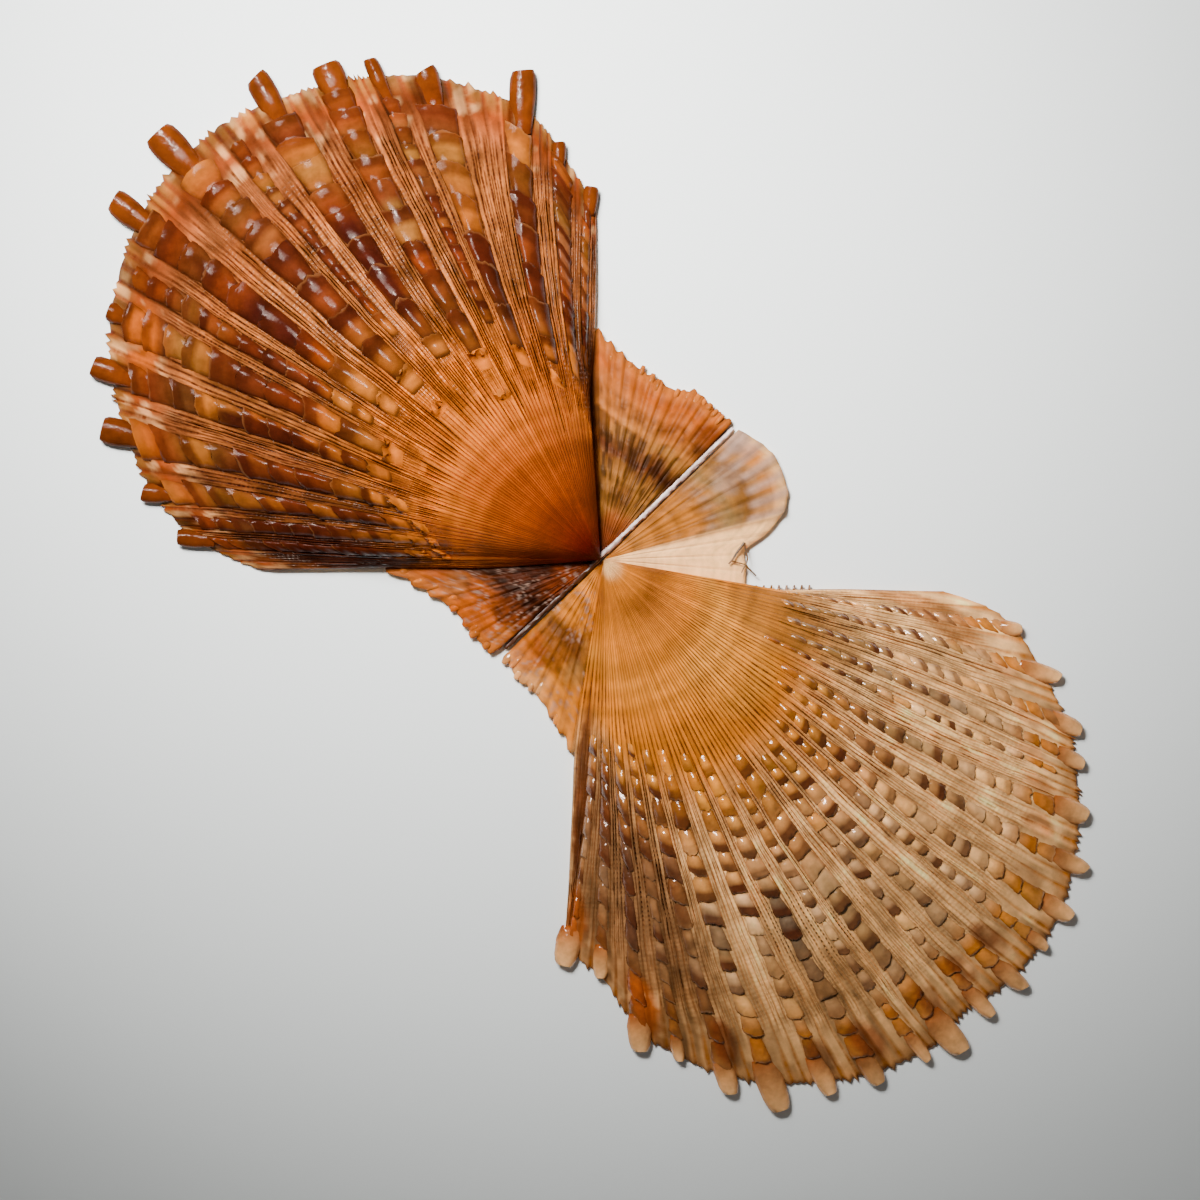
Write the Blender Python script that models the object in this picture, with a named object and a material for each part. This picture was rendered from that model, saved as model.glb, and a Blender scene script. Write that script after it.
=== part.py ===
"""Zhikong scallop shell, opened flat along its hinge with both outer faces up.

Each valve is a fan of columns that spread from its beak: a back ear, the disc and a front ear.
A column runs out along a bearing, and rows of equal growth cross the columns, so that every rib,
ledge and scale lies where the shell grew it. Lengths in the tables are millimetres. A bearing is
in degrees, clockwise from +X as seen from above. "Growth" is 0 at the beak and 1 at the margin.
"""
import math
from collections import namedtuple

import bmesh
import bpy

MM = 0.001

# Hinge line, which both valves and the ligament share
HINGE_POINT = (1.45, 3.66)
HINGE_BEARING = -43.97
HINGE_CLEARANCE = 0.55
LIGAMENT_FRONT = 22.4
LIGAMENT_BACK = 16.4
LIGAMENT_HALF_WIDTH = 0.25
LIGAMENT_HEIGHT = 0.5
LIGAMENT_STEPS = 16

# Rows and columns of the solids
ROWS = 19
EAR_COLUMNS = 6
INNER_COLUMN_STEP = 5
INNER_ROW_STEP = 4
FLANK_BLEND = 0.12

# Byssal thread, laid in the notch of the right valve
THREAD_RADIUS = 0.18
THREAD_GRAIN = 0.075
THREAD_SHARE = 0.058

# Ribs swing from one bearing to another between these growths
RIB_STRAIGHT = 0.55
RIB_SWING = 1.2
RIB_READ = 0.7
CREST_SHARE = 0.4
VALLEY_MERGE = 0.22
RIBLET_GAP = 1.3
RIBLET_RELIEF = 0.32

# Scales: raised and low rows along each rib, which fade in from the smooth umbo
SCALE_HIGH = 1.6
SCALE_LOW = 0.55
SCALE_END = 0.6
SCALE_START = 0.18
SCALE_FULL = 0.5

# A spine's rings as share of its length, share of its breadth, and the heights of its two faces
SPINE_RINGS = ((0.3, 0.9, 0.35, 1.7), (0.8, 1.0, 0.8, 1.8), (1.0, 0.6, 1.0, 1.7))

Rib = namedtuple("Rib", "mid tip half height spine width")
"""mid is the bearing inside the disc and tip the one at the margin, half is the half width in
degrees, height is the relief, spine is the length beyond the margin and width its breadth."""

LEFT_RIBS = (
    Rib(182.0, 183.0, 1.0, 0.8, 2.0, 2.2),
    Rib(185.8, 185.0, 1.2, 0.8, 0.0, 0.0),
    Rib(189.8, 188.5, 1.4, 1.0, 1.5, 2.4),
    Rib(195.0, 194.8, 1.7, 1.2, 3.3, 3.4),
    Rib(201.4, 201.0, 1.5, 1.0, 2.6, 2.9),
    Rib(206.8, 206.9, 1.8, 1.2, 0.5, 2.4),
    Rib(211.2, 211.2, 1.1, 0.8, 0.0, 0.0),
    Rib(215.8, 216.4, 1.7, 1.1, 3.9, 3.3),
    Rib(223.1, 223.8, 2.0, 1.4, 4.4, 4.2),
    Rib(227.6, 228.8, 0.8, 0.7, 0.0, 0.0),
    Rib(232.4, 234.2, 1.8, 1.1, 3.5, 3.2),
    Rib(239.1, 240.7, 1.8, 1.3, 2.5, 3.8),
    Rib(244.9, 245.2, 0.9, 0.7, 2.3, 1.9),
    Rib(248.7, 250.2, 1.5, 1.1, 0.8, 3.0),
    Rib(256.4, 260.2, 1.7, 1.2, 4.3, 3.3),
    Rib(262.5, 264.2, 1.2, 0.9, 0.8, 1.8),
    Rib(266.0, 268.4, 0.8, 0.8, 1.4, 1.9),
)

RIGHT_RIBS = (
    Rib(9.8, 9.6, 0.9, 0.6, 0.7, 1.8),
    Rib(13.3, 14.5, 1.1, 0.8, 2.0, 2.1),
    Rib(18.0, 19.6, 1.2, 0.8, 1.9, 2.2),
    Rib(22.0, 23.1, 1.2, 0.8, 1.2, 2.0),
    Rib(25.6, 25.0, 0.9, 0.7, 0.0, 0.0),
    Rib(31.0, 28.2, 1.3, 0.9, 1.2, 2.8),
    Rib(35.3, 33.0, 1.1, 0.8, 1.7, 2.3),
    Rib(39.7, 37.6, 1.2, 0.9, 2.2, 2.4),
    Rib(43.0, 41.3, 0.9, 0.7, 0.8, 1.6),
    Rib(47.7, 45.7, 1.2, 0.9, 1.9, 2.2),
    Rib(51.0, 49.7, 1.0, 0.8, 2.4, 2.0),
    Rib(56.0, 54.1, 1.5, 1.0, 2.9, 3.2),
    Rib(59.4, 57.1, 0.9, 0.7, 1.2, 1.6),
    Rib(63.7, 62.3, 1.3, 0.9, 1.6, 2.4),
    Rib(67.9, 67.0, 1.2, 0.9, 1.7, 2.4),
    Rib(73.3, 72.3, 1.4, 1.0, 3.6, 3.3),
    Rib(77.7, 76.7, 1.3, 0.9, 2.4, 2.5),
    Rib(81.9, 81.4, 1.0, 0.7, 0.6, 1.6),
    Rib(85.7, 85.7, 1.2, 0.9, 2.5, 2.8),
    Rib(89.7, 90.4, 1.1, 0.8, 0.3, 2.0),
    Rib(93.2, 95.3, 1.0, 0.8, 2.7, 3.0),
)

LEFT = dict(
    name="left_valve",
    beak_along=-0.49,
    beak_across=0.32,
    hinge_side=-1.0,
    back_flank=((0.0, 175.5), (12.5, 175.5), (20.0, 177.2), (26.3, 177.8), (41.5, 178.3)),
    front_flank=((0.0, 266.0), (7.5, 266.0), (14.5, 265.3), (19.5, 266.4), (28.0, 268.7), (42.5, 269.3)),
    ribs=LEFT_RIBS,
    disc_margin=(
        (178.3, 41.5), (180.5, 45.3), (183.0, 49.8), (186.0, 52.8), (190.0, 56.4), (196.0, 60.8),
        (203.0, 65.2), (210.0, 68.2), (217.0, 70.3), (224.0, 70.9), (231.0, 70.0), (238.0, 67.8),
        (245.0, 65.2), (250.0, 63.0), (255.0, 59.7), (258.0, 57.8), (260.5, 56.0), (262.5, 53.3),
        (266.0, 47.6), (269.3, 43.0)),
    back_ear=((138.93, 17.2), (148.0, 18.0), (160.0, 18.7), (168.0, 20.8), (174.0, 23.4), (177.8, 26.3)),
    front_ear=((268.7, 28.0), (273.0, 26.0), (278.0, 24.6), (286.0, 23.1), (294.0, 22.7), (301.0, 23.6),
               (307.0, 22.9), (313.86, 23.0)),
    height=13.0,
    beak_height=2.4,
    rim_height=1.0,
    ear_arch=0.7,
)

RIGHT = dict(
    name="right_valve",
    beak_along=-0.18,
    beak_across=0.55,
    hinge_side=1.0,
    back_flank=((0.0, 11.9), (12.0, 11.9), (17.5, 11.7), (21.0, 9.9), (25.0, 8.3), (31.0, 6.7), (41.7, 5.3)),
    front_flank=((0.0, 99.0), (17.0, 99.0), (23.5, 98.7), (30.0, 97.4), (39.0, 96.3), (46.5, 95.9)),
    ribs=RIGHT_RIBS,
    disc_margin=(
        (5.3, 41.7), (6.5, 45.8), (8.0, 49.0), (10.0, 51.5), (13.0, 54.2), (17.0, 57.8), (21.0, 61.2),
        (25.0, 63.8), (29.0, 66.3), (33.0, 68.4), (38.0, 70.6), (43.0, 71.4), (47.0, 71.4), (51.5, 70.6),
        (55.0, 71.8), (58.0, 71.6), (63.0, 70.6), (68.0, 68.9), (73.0, 66.8), (78.0, 63.9), (82.0, 60.9),
        (85.5, 58.0), (87.5, 54.9), (90.0, 51.2), (93.0, 49.2), (95.9, 46.6)),
    back_ear=((-43.97, 22.9), (-38.0, 23.7), (-31.0, 24.4), (-24.0, 24.2), (-18.0, 23.6), (-13.0, 22.0),
              (-9.0, 20.2), (-4.0, 17.4), (3.0, 17.4), (11.7, 17.5)),
    front_ear=((98.7, 23.8), (101.0, 22.6), (105.0, 21.0), (112.0, 19.2), (119.0, 18.2), (127.0, 17.6),
               (136.03, 17.0)),
    height=9.5,
    beak_height=1.7,
    rim_height=0.9,
    ear_arch=0.6,
)

# How the valves rise: along the middle from beak to margin, and across the disc
EAR_RIB = 0.35
PROFILE_POWER = 0.72
PROFILE_ROUND = 0.85
CROSS_POWER = 2.6
CROSS_ROUND = 0.8
INNER_SHARE = 0.97
INNER_DROP = 0.3

SHARP_ANGLE = 38


def direction(bearing):
    turn = math.radians(bearing)
    return math.cos(turn), -math.sin(turn)


def smooth_step(value, low, high):
    t = min(1.0, max(0.0, (value - low) / (high - low)))
    return t * t * (3.0 - 2.0 * t)


def through(points, x):
    """A smooth curve through points (x, y), read at x."""
    if x <= points[0][0]:
        return points[0][1]
    if x >= points[-1][0]:
        return points[-1][1]
    slopes = []
    for i in range(len(points)):
        before = points[max(i - 1, 0)]
        after = points[min(i + 1, len(points) - 1)]
        slopes.append((after[1] - before[1]) / (after[0] - before[0]))
    i = max(k for k in range(len(points) - 1) if points[k][0] <= x)
    (x0, y0), (x1, y1) = points[i], points[i + 1]
    span = x1 - x0
    t = (x - x0) / span
    return ((2 * t ** 3 - 3 * t ** 2 + 1) * y0 + (t ** 3 - 2 * t ** 2 + t) * span * slopes[i]
            + (3 * t ** 2 - 2 * t ** 3) * y1 + (t ** 3 - t ** 2) * span * slopes[i + 1])


def on_hinge(along, across):
    """A place by its distance along the hinge line and across it, towards the right valve."""
    ux, uy = direction(HINGE_BEARING)
    nx, ny = uy, -ux
    return HINGE_POINT[0] + along * ux + across * nx, HINGE_POINT[1] + along * uy + across * ny


def beak(valve):
    return on_hinge(valve["beak_along"], valve["beak_across"])


def rib_bearing(rib, growth):
    swing = max(0.0, (growth - RIB_STRAIGHT) / (1.0 - RIB_STRAIGHT)) ** RIB_SWING
    return rib.mid + (rib.tip - rib.mid) * swing


def flank_bearing(valve, side, growth):
    """The disc's edge beside an ear, which is a little bent, so its bearing changes with its reach."""
    line = valve[side]
    return through(line, growth * line[-1][0])


Column = namedtuple("Column", "part guides share relief rib reach")
"""part is back, disc or front; guides are the two bearing functions that share blends; relief is
how much of the rib's height the column has; reach is its distance from the beak to the margin."""


def blended_bearing(column, growth):
    first, second = column.guides
    return first(growth) * (1.0 - column.share) + second(growth) * column.share


def disc_columns(valve):
    ribs = valve["ribs"]

    def back_edge(g):
        return flank_bearing(valve, "back_flank", g)

    def front_edge(g):
        return flank_bearing(valve, "front_flank", g)

    stops = [(back_edge, 0.0, None)]
    for rib in ribs:
        def guide(g, rib=rib):
            return rib_bearing(rib, g)
        stops.append((guide, rib.half, rib))
    stops.append((front_edge, 0.0, None))
    columns = [(back_edge, back_edge, 0.0, 0.0, None)]
    for (guide, half, rib), (next_guide, next_half, next_rib) in zip(stops, stops[1:]):
        gap = next_guide(RIB_READ) - guide(RIB_READ)
        if rib is not None:
            columns.append((guide, next_guide, CREST_SHARE * half / gap, 1.0, rib))
        valleys = [half / gap, 1.0 - next_half / gap]
        if valleys[1] - valleys[0] < VALLEY_MERGE:
            valleys = [0.5 * (valleys[0] + valleys[1])]
        places = [v for v in valleys if 0.0 < v < 1.0]
        for place in places:
            columns.append((guide, next_guide, place, 0.0, None))
        if len(places) == 2 and (places[1] - places[0]) * gap > RIBLET_GAP:
            riblet = (guide, next_guide, 0.5 * (places[0] + places[1]), RIBLET_RELIEF, None)
            columns.insert(len(columns) - 1, riblet)
        if next_rib is not None:
            columns.append((guide, next_guide, 1.0 - CREST_SHARE * next_half / gap, 1.0, next_rib))
    columns.append((front_edge, front_edge, 0.0, 0.0, None))
    made = []
    for first, second, share, relief, rib in columns:
        column = Column("disc", (first, second), share, relief, rib, 0.0)
        reach = through(valve["disc_margin"], blended_bearing(column, 1.0))
        made.append(column._replace(reach=reach))
    return made


def ear_columns(valve, part, count):
    """Columns of one ear, each with the ear's own reach."""
    outline = valve["back_ear"] if part == "back" else valve["front_ear"]
    made = []
    for i in range(count):
        share = i / count if part == "back" else (i + 1) / count
        bearing = outline[0][0] + (outline[-1][0] - outline[0][0]) * share
        made.append(Column(part, (lambda g, b=bearing: b,) * 2, 0.0, 0.0, None, through(outline, bearing)))
    return made


def row_growth(i, ear_row, ear_growth):
    """The growth of row i on a disc edge, so that one row ends exactly where the ear does."""
    if i <= ear_row:
        return ear_growth * i / ear_row
    return ear_growth + (1.0 - ear_growth) * (i - ear_row) / (ROWS - ear_row)


def dome(valve, across, growth):
    """Height of the smooth valve above its edge. across runs from 0 to 1 over the disc."""
    if not 0.0 < growth < 1.0:
        return 0.0
    rise = math.sin(math.pi * growth ** PROFILE_POWER) ** PROFILE_ROUND
    side = max(0.0, 1.0 - abs(2.0 * across - 1.0) ** CROSS_POWER) ** CROSS_ROUND
    return valve["height"] * rise * side


def edge_height(valve, growth):
    return valve["beak_height"] + (valve["rim_height"] - valve["beak_height"]) * growth ** 0.5


def ledge(row, rib_number):
    """The saw of low and raised rows that gives each rib its scales, one row out of step in turn."""
    return SCALE_HIGH if (row + rib_number) % 2 == 0 else SCALE_LOW


class ValveMesh:
    """Builds one valve as a single closed skin."""

    def __init__(self, valve):
        self.valve = valve
        self.mesh = bmesh.new()
        disc = disc_columns(valve)
        back_flank = disc[0].reach
        front_flank = disc[-1].reach
        self.back_growth = valve["back_ear"][-1][1] / back_flank
        self.front_growth = valve["front_ear"][0][1] / front_flank
        self.back_row = round(self.back_growth * ROWS)
        self.front_row = round(self.front_growth * ROWS)
        back = ear_columns(valve, "back", EAR_COLUMNS)
        front = ear_columns(valve, "front", EAR_COLUMNS)
        self.columns = back + disc + front
        self.first = len(back)
        self.last = len(back) + len(disc) - 1
        self.origin = beak(valve)
        self.rib_numbers = {rib: n for n, rib in enumerate(valve["ribs"])}
        self.top = {}
        self.under = {}

    def rows(self, c):
        if c < self.first:
            return self.back_row
        if c > self.last:
            return self.front_row
        return ROWS

    def growth(self, c, r):
        """Growth of a vertex on its own column."""
        if c < self.first:
            return r / self.back_row
        if c > self.last:
            return r / self.front_row
        across = (c - self.first) / (self.last - self.first)
        plain = r / ROWS
        near_back = max(0.0, 1.0 - across / FLANK_BLEND)
        near_front = max(0.0, 1.0 - (1.0 - across) / FLANK_BLEND)
        if near_back > 0.0:
            return plain + near_back * (row_growth(r, self.back_row, self.back_growth) - plain)
        return plain + near_front * (row_growth(r, self.front_row, self.front_growth) - plain)

    def place(self, c, r):
        growth = self.growth(c, r)
        column = self.columns[c]
        dx, dy = direction(blended_bearing(column, growth))
        reach = growth * column.reach
        return self.origin[0] + dx * reach, self.origin[1] + dy * reach, growth

    def across(self, c):
        low = blended_bearing(self.columns[self.first], RIB_READ)
        high = blended_bearing(self.columns[self.last], RIB_READ)
        here = blended_bearing(self.columns[c], RIB_READ)
        return min(1.0, max(0.0, (here - low) / (high - low)))

    def top_height(self, c, r, growth):
        column = self.columns[c]
        if column.part != "disc":
            flank_growth = growth * (self.back_growth if column.part == "back" else self.front_growth)
            arch = math.sin(math.pi * min(1.0, growth)) if growth < 1.0 else 0.0
            step = (self.first - c) if column.part == "back" else (c - self.last)
            side = max(0.0, math.sin(math.pi * step / EAR_COLUMNS))
            rib = EAR_RIB * arch * (step % 2)
            return edge_height(self.valve, flank_growth) + self.valve["ear_arch"] * arch * side + rib
        height = edge_height(self.valve, growth) + dome(self.valve, self.across(c), growth)
        relief = column.relief * smooth_step(growth, SCALE_START, SCALE_FULL)
        if column.rib is None:
            return height + relief
        lift = ledge(r, self.rib_numbers[column.rib]) if 0 < r < ROWS else SCALE_END
        return height + relief * column.rib.height * lift

    def top_vertex(self, c, r):
        key = (0, 0) if r == 0 else (c, r)
        if key not in self.top:
            x, y, growth = self.place(c, r)
            z = self.top_height(c, r, growth) if r else self.valve["beak_height"]
            self.top[key] = self.mesh.verts.new((x * MM, y * MM, z * MM))
        return self.top[key]

    def under_vertex(self, c, r):
        key = (0, 0) if r == 0 else (c, r)
        if key not in self.under:
            x, y, growth = self.place(c, r)
            shift = self.valve["hinge_side"] * HINGE_CLEARANCE - self.valve["beak_across"]
            shift *= 1.0 - growth
            sx, sy = on_hinge(0.0, shift)
            x += sx - HINGE_POINT[0]
            y += sy - HINGE_POINT[1]
            z = 0.0
            if self.first < c < self.last and 0 < r < ROWS:
                z = max(0.0, INNER_SHARE * dome(self.valve, self.across(c), growth) - INNER_DROP)
            self.under[key] = self.mesh.verts.new((x * MM, y * MM, z * MM))
        return self.under[key]

    def face(self, verts):
        ring = []
        for vert in verts:
            if not ring or ring[-1] is not vert:
                ring.append(vert)
        if ring[0] is ring[-1]:
            ring.pop()
        if len(ring) > 2:
            self.mesh.faces.new(ring[::-1])

    def add_top(self):
        for c in range(len(self.columns) - 1):
            for r in range(min(self.rows(c), self.rows(c + 1))):
                self.face([self.top_vertex(c, r), self.top_vertex(c, r + 1),
                           self.top_vertex(c + 1, r + 1), self.top_vertex(c + 1, r)])

    def border(self):
        """Every place on the outline, in order, from the beak round to the beak again."""
        count = len(self.columns)
        path = [(0, r) for r in range(self.rows(0))]
        path += [(c, self.back_row) for c in range(self.first)]
        path += [(self.first, r) for r in range(self.back_row, ROWS)]
        path += [(c, ROWS) for c in range(self.first, self.last)]
        path += [(self.last, r) for r in range(ROWS, self.front_row, -1)]
        path += [(c, self.front_row) for c in range(self.last, count - 1)]
        path += [(count - 1, r) for r in range(self.front_row, 0, -1)]
        return path

    def add_walls(self):
        path = self.border()
        spines = self.spine_roots()
        for here, there in zip(path, path[1:] + path[:1]):
            if (here, there) in spines:
                self.add_spine(here, there, spines[(here, there)])
                continue
            self.face([self.top_vertex(*there), self.top_vertex(*here),
                       self.under_vertex(*here), self.under_vertex(*there)])

    def spine_roots(self):
        roots = {}
        for c in range(self.first, self.last):
            rib = self.columns[c].rib
            if rib is not None and rib is self.columns[c + 1].rib and rib.spine > 0.0:
                roots[((c, ROWS), (c + 1, ROWS))] = rib
        return roots

    def add_spine(self, here, there, rib):
        """A flat rounded tongue that grows out of the margin at the end of a rib."""
        x0, y0, _ = self.place(*here)
        x1, y1, _ = self.place(*there)
        middle = (0.5 * (x0 + x1), 0.5 * (y0 + y1))
        dx, dy = direction(rib.tip)
        rings = [[self.top_vertex(*there), self.top_vertex(*here),
                  self.under_vertex(*here), self.under_vertex(*there)]]
        for out, breadth, low, high in SPINE_RINGS:
            ring = []
            for side, z in ((1, high), (-1, high), (-1, low), (1, low)):
                x = middle[0] + dx * rib.spine * out + dy * side * 0.5 * rib.width * breadth
                y = middle[1] + dy * rib.spine * out - dx * side * 0.5 * rib.width * breadth
                ring.append(self.mesh.verts.new((x * MM, y * MM, z * MM)))
            rings.append(ring)
        for inner, outer in zip(rings, rings[1:]):
            for k in range(4):
                n = (k + 1) % 4
                self.face([inner[k], inner[n], outer[n], outer[k]])
        self.face(rings[-1])

    def inner_marks(self):
        """The columns and rows that the coarser inner face keeps."""
        columns = sorted(set(range(self.first, self.last, INNER_COLUMN_STEP))
                         | {0, self.first // 2, self.first, self.last, len(self.columns) - 1,
                            (self.last + len(self.columns)) // 2})
        rows = sorted(set(range(0, ROWS, INNER_ROW_STEP)) | {self.back_row, self.front_row, ROWS})
        return columns, rows

    def edge_between(self, start, end):
        """The places from start to end, with all the outline's own places where the edge is on it."""
        (c0, r0), (c1, r1) = start, end
        if c0 == c1:
            on_outline = c0 in (0, len(self.columns) - 1) \
                or (c0 == self.first and min(r0, r1) >= self.back_row) \
                or (c0 == self.last and min(r0, r1) >= self.front_row)
            if on_outline:
                step = 1 if r1 > r0 else -1
                return [(c0, r) for r in range(r0, r1, step)]
            return [start]
        if r0 == r1:
            low, high = min(c0, c1), max(c0, c1)
            on_outline = (r0 == ROWS) \
                or (r0 == self.back_row and high <= self.first) \
                or (r0 == self.front_row and low >= self.last)
            if on_outline:
                step = 1 if c1 > c0 else -1
                return [(c, r0) for c in range(c0, c1, step)]
        return [start]

    def add_under(self):
        columns, rows = self.inner_marks()
        for c0, c1 in zip(columns, columns[1:]):
            for r0, r1 in zip(rows, rows[1:]):
                if r1 > min(self.rows(c0), self.rows(c1)):
                    continue
                corners = [(c0, r0), (c1, r0), (c1, r1), (c0, r1)]
                ring = []
                for start, end in zip(corners, corners[1:] + corners[:1]):
                    ring += self.edge_between(start, end)
                self.face([self.under_vertex(*place) for place in ring])

    def build(self, material):
        self.add_top()
        self.add_walls()
        self.add_under()
        bmesh.ops.triangulate(self.mesh, faces=self.mesh.faces[:])
        return finish(self.mesh, self.valve["name"], material)


def finish(mesh, name, material):
    """Turns a finished bmesh into a smooth-shaded object with its own material."""
    data = bpy.data.meshes.new(name)
    mesh.to_mesh(data)
    mesh.free()
    data.materials.append(material)
    data.shade_smooth()
    data.set_sharp_from_angle(angle=math.radians(SHARP_ANGLE))
    made = bpy.data.objects.new(name, data)
    bpy.context.scene.collection.objects.link(made)
    return made


def plain_material(name, colour, roughness):
    material = bpy.data.materials.new(name)
    material.use_nodes = True
    shader = material.node_tree.nodes["Principled BSDF"]
    shader.inputs["Base Color"].default_value = (*colour, 1.0)
    shader.inputs["Roughness"].default_value = roughness
    shader.inputs["Metallic"].default_value = 0.0
    return material


def add_ligament():
    """The dried band along the hinge: flat below, low and rounded above, thinner to its ends."""
    mesh = bmesh.new()
    rings = []
    for i in range(LIGAMENT_STEPS + 1):
        t = i / LIGAMENT_STEPS
        along = -LIGAMENT_BACK + (LIGAMENT_FRONT + LIGAMENT_BACK) * t
        fullness = 0.45 + 0.55 * math.sin(math.pi * t) ** 0.5
        half = LIGAMENT_HALF_WIDTH * fullness
        top = LIGAMENT_HEIGHT * fullness
        section = ((-half, 0.0), (-half, 0.4 * top), (-0.4 * half, top), (0.4 * half, top),
                   (half, 0.4 * top), (half, 0.0))
        ring = []
        for across, z in section:
            x, y = on_hinge(along, across)
            ring.append(mesh.verts.new((x * MM, y * MM, z * MM)))
        rings.append(ring)
    for ring, following in zip(rings, rings[1:]):
        for k in range(len(ring)):
            n = (k + 1) % len(ring)
            mesh.faces.new((ring[k], following[k], following[n], ring[n]))
    mesh.faces.new(rings[0])
    mesh.faces.new(rings[-1][::-1])
    bmesh.ops.recalc_face_normals(mesh, faces=mesh.faces[:])
    bmesh.ops.triangulate(mesh, faces=mesh.faces[:])
    return finish(mesh, "hinge_ligament", plain_material("dried ligament", (0.55, 0.42, 0.40), 0.6))


def add_thread():
    """The branching wisp of byssus: two strands from one knot, a link and two short free ends."""
    places = {
        "knot": (18.87, 5.22, 1.85),
        "left bend": (18.02, 4.12, 1.95),
        "left end": (17.32, 2.97, 2.0),
        "foot": (16.92, 2.62, 2.0),
        "right bend": (19.12, 3.82, 1.8),
        "fork": (19.02, 2.52, 1.75),
        "short end": (18.52, 1.52, 1.85),
        "long bend": (19.62, 1.87, 1.6),
        "long end": (20.32, 1.17, 1.2),
    }
    strands = (("knot", "left bend"), ("left bend", "left end"), ("left end", "foot"),
               ("knot", "right bend"), ("right bend", "fork"), ("fork", "short end"),
               ("fork", "long bend"), ("long bend", "long end"))
    names = list(places)
    data = bpy.data.meshes.new("strand lines")
    data.from_pydata(list(places.values()), [(names.index(a), names.index(b)) for a, b in strands], [])
    lines = bpy.data.objects.new("strand_lines", data)
    bpy.context.scene.collection.objects.link(lines)
    lines.modifiers.new("strands", "SKIN")
    for point in data.skin_vertices[0].data:
        point.radius = (THREAD_RADIUS, THREAD_RADIUS)
    fused = lines.modifiers.new("one closed skin", "REMESH")
    fused.mode = "VOXEL"
    fused.voxel_size = THREAD_GRAIN
    fewer = lines.modifiers.new("fewer faces", "DECIMATE")
    fewer.ratio = THREAD_SHARE
    skinned = lines.evaluated_get(bpy.context.evaluated_depsgraph_get()).to_mesh()
    mesh = bmesh.new()
    mesh.from_mesh(skinned)
    bpy.data.objects.remove(lines, do_unlink=True)
    bmesh.ops.scale(mesh, vec=(MM, MM, MM), verts=mesh.verts[:])
    bmesh.ops.recalc_face_normals(mesh, faces=mesh.faces[:])
    bmesh.ops.triangulate(mesh, faces=mesh.faces[:])
    return finish(mesh, "byssal_thread", plain_material("dried byssus", (0.30, 0.18, 0.06), 0.6))


def main():
    for item in list(bpy.data.objects):
        bpy.data.objects.remove(item, do_unlink=True)
    ValveMesh(LEFT).build(plain_material("left valve shell", (0.55, 0.17, 0.04), 0.35))
    ValveMesh(RIGHT).build(plain_material("right valve shell", (0.72, 0.42, 0.20), 0.35))
    add_ligament()
    add_thread()


main()
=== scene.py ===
"""Zhikong scallop shell, opened flat: the looks of both valves, the dried ligament and the byssal thread.

Lengths in the tables are millimetres. A bearing is in degrees, clockwise from +X as seen from above.
"Growth" is 0 at a valve's beak and 1 at its margin, and the rows of growth cross the ribs.
"""

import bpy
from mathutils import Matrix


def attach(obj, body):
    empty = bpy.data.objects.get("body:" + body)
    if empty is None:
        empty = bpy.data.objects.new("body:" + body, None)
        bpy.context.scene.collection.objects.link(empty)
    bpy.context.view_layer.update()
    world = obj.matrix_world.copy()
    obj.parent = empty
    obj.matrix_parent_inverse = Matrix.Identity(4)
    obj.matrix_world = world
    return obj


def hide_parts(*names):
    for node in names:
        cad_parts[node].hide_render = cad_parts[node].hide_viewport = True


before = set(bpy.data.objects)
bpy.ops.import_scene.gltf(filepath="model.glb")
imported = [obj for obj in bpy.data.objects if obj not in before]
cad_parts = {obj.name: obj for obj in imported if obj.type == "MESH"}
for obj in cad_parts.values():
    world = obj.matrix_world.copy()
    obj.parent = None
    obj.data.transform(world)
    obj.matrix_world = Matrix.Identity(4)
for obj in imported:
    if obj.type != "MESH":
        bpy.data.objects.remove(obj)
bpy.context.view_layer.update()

import math
from collections import namedtuple

import bpy
import numpy as np
from mathutils import Vector
from bpy.props import FloatProperty, FloatVectorProperty, PointerProperty

bl_info = {
    "name": "Zhikong scallop shell",
    "version": (1, 0, 0),
    "blender": (4, 5, 0),
    "location": "3D View > Sidebar > Shell",
    "description": "Builds an opened zhikong scallop shell on its solid frame",
    "category": "Add Mesh",
}

MM = 0.001

# Hinge line, shared by both valves, and the ligament on it
HINGE_POINT = (1.45, 3.66)
HINGE_BEARING = -43.97
HINGE_CLEARANCE = 0.55
LIGAMENT_FRONT = 22.4
LIGAMENT_BACK = 16.4
LIGAMENT_HALF_WIDTH = 0.52
LIGAMENT_SQUARES = (160, 6)
LIGAMENT_CROWN = 2.5
LIGAMENT_FALL = 1.15

# Ribs run straight to this growth and then swing to their tips
RIB_STRAIGHT = 0.55
RIB_SWING = 1.2

# Share of a flank's length at which its bearing counts as the edge of the disc
RIB_READ = 0.7

# The smooth form of a valve
PROFILE_POWER = 0.72
PROFILE_ROUND = 0.85
CROSS_POWER = 2.6
CROSS_ROUND = 0.8
INNER_SHARE = 0.97
INNER_DROP = 0.3
FLANK_BLEND = 0.12
MARGIN_THINNING = 0.45
INNER_WAVE = 0.1

# Lines of the fine sheets
ROWS = 116
RIBLET_LINES = 2
RIBLET_PITCH = 0.64

# Fringe of the margin: length of the teeth between the ribs and on them
FRINGE = 0.5
RIB_FRINGE = 0.25

# Growth steps and ribs of the ears
EAR_STEPS = 11.0
EAR_STEP_HEIGHT = 0.16
EAR_RIB_HEIGHT = 0.1
EAR_RIM_FALL = 0.35

# Smooth band along the byssal notch: bearings where it starts, and the low fold there
BAND_EDGE = (-15.5, -13.0)
BAND_FOLD = -14.8
BAND_FOLD_WIDTH = 1.1
BAND_FOLD_HEIGHT = 0.45

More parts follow.
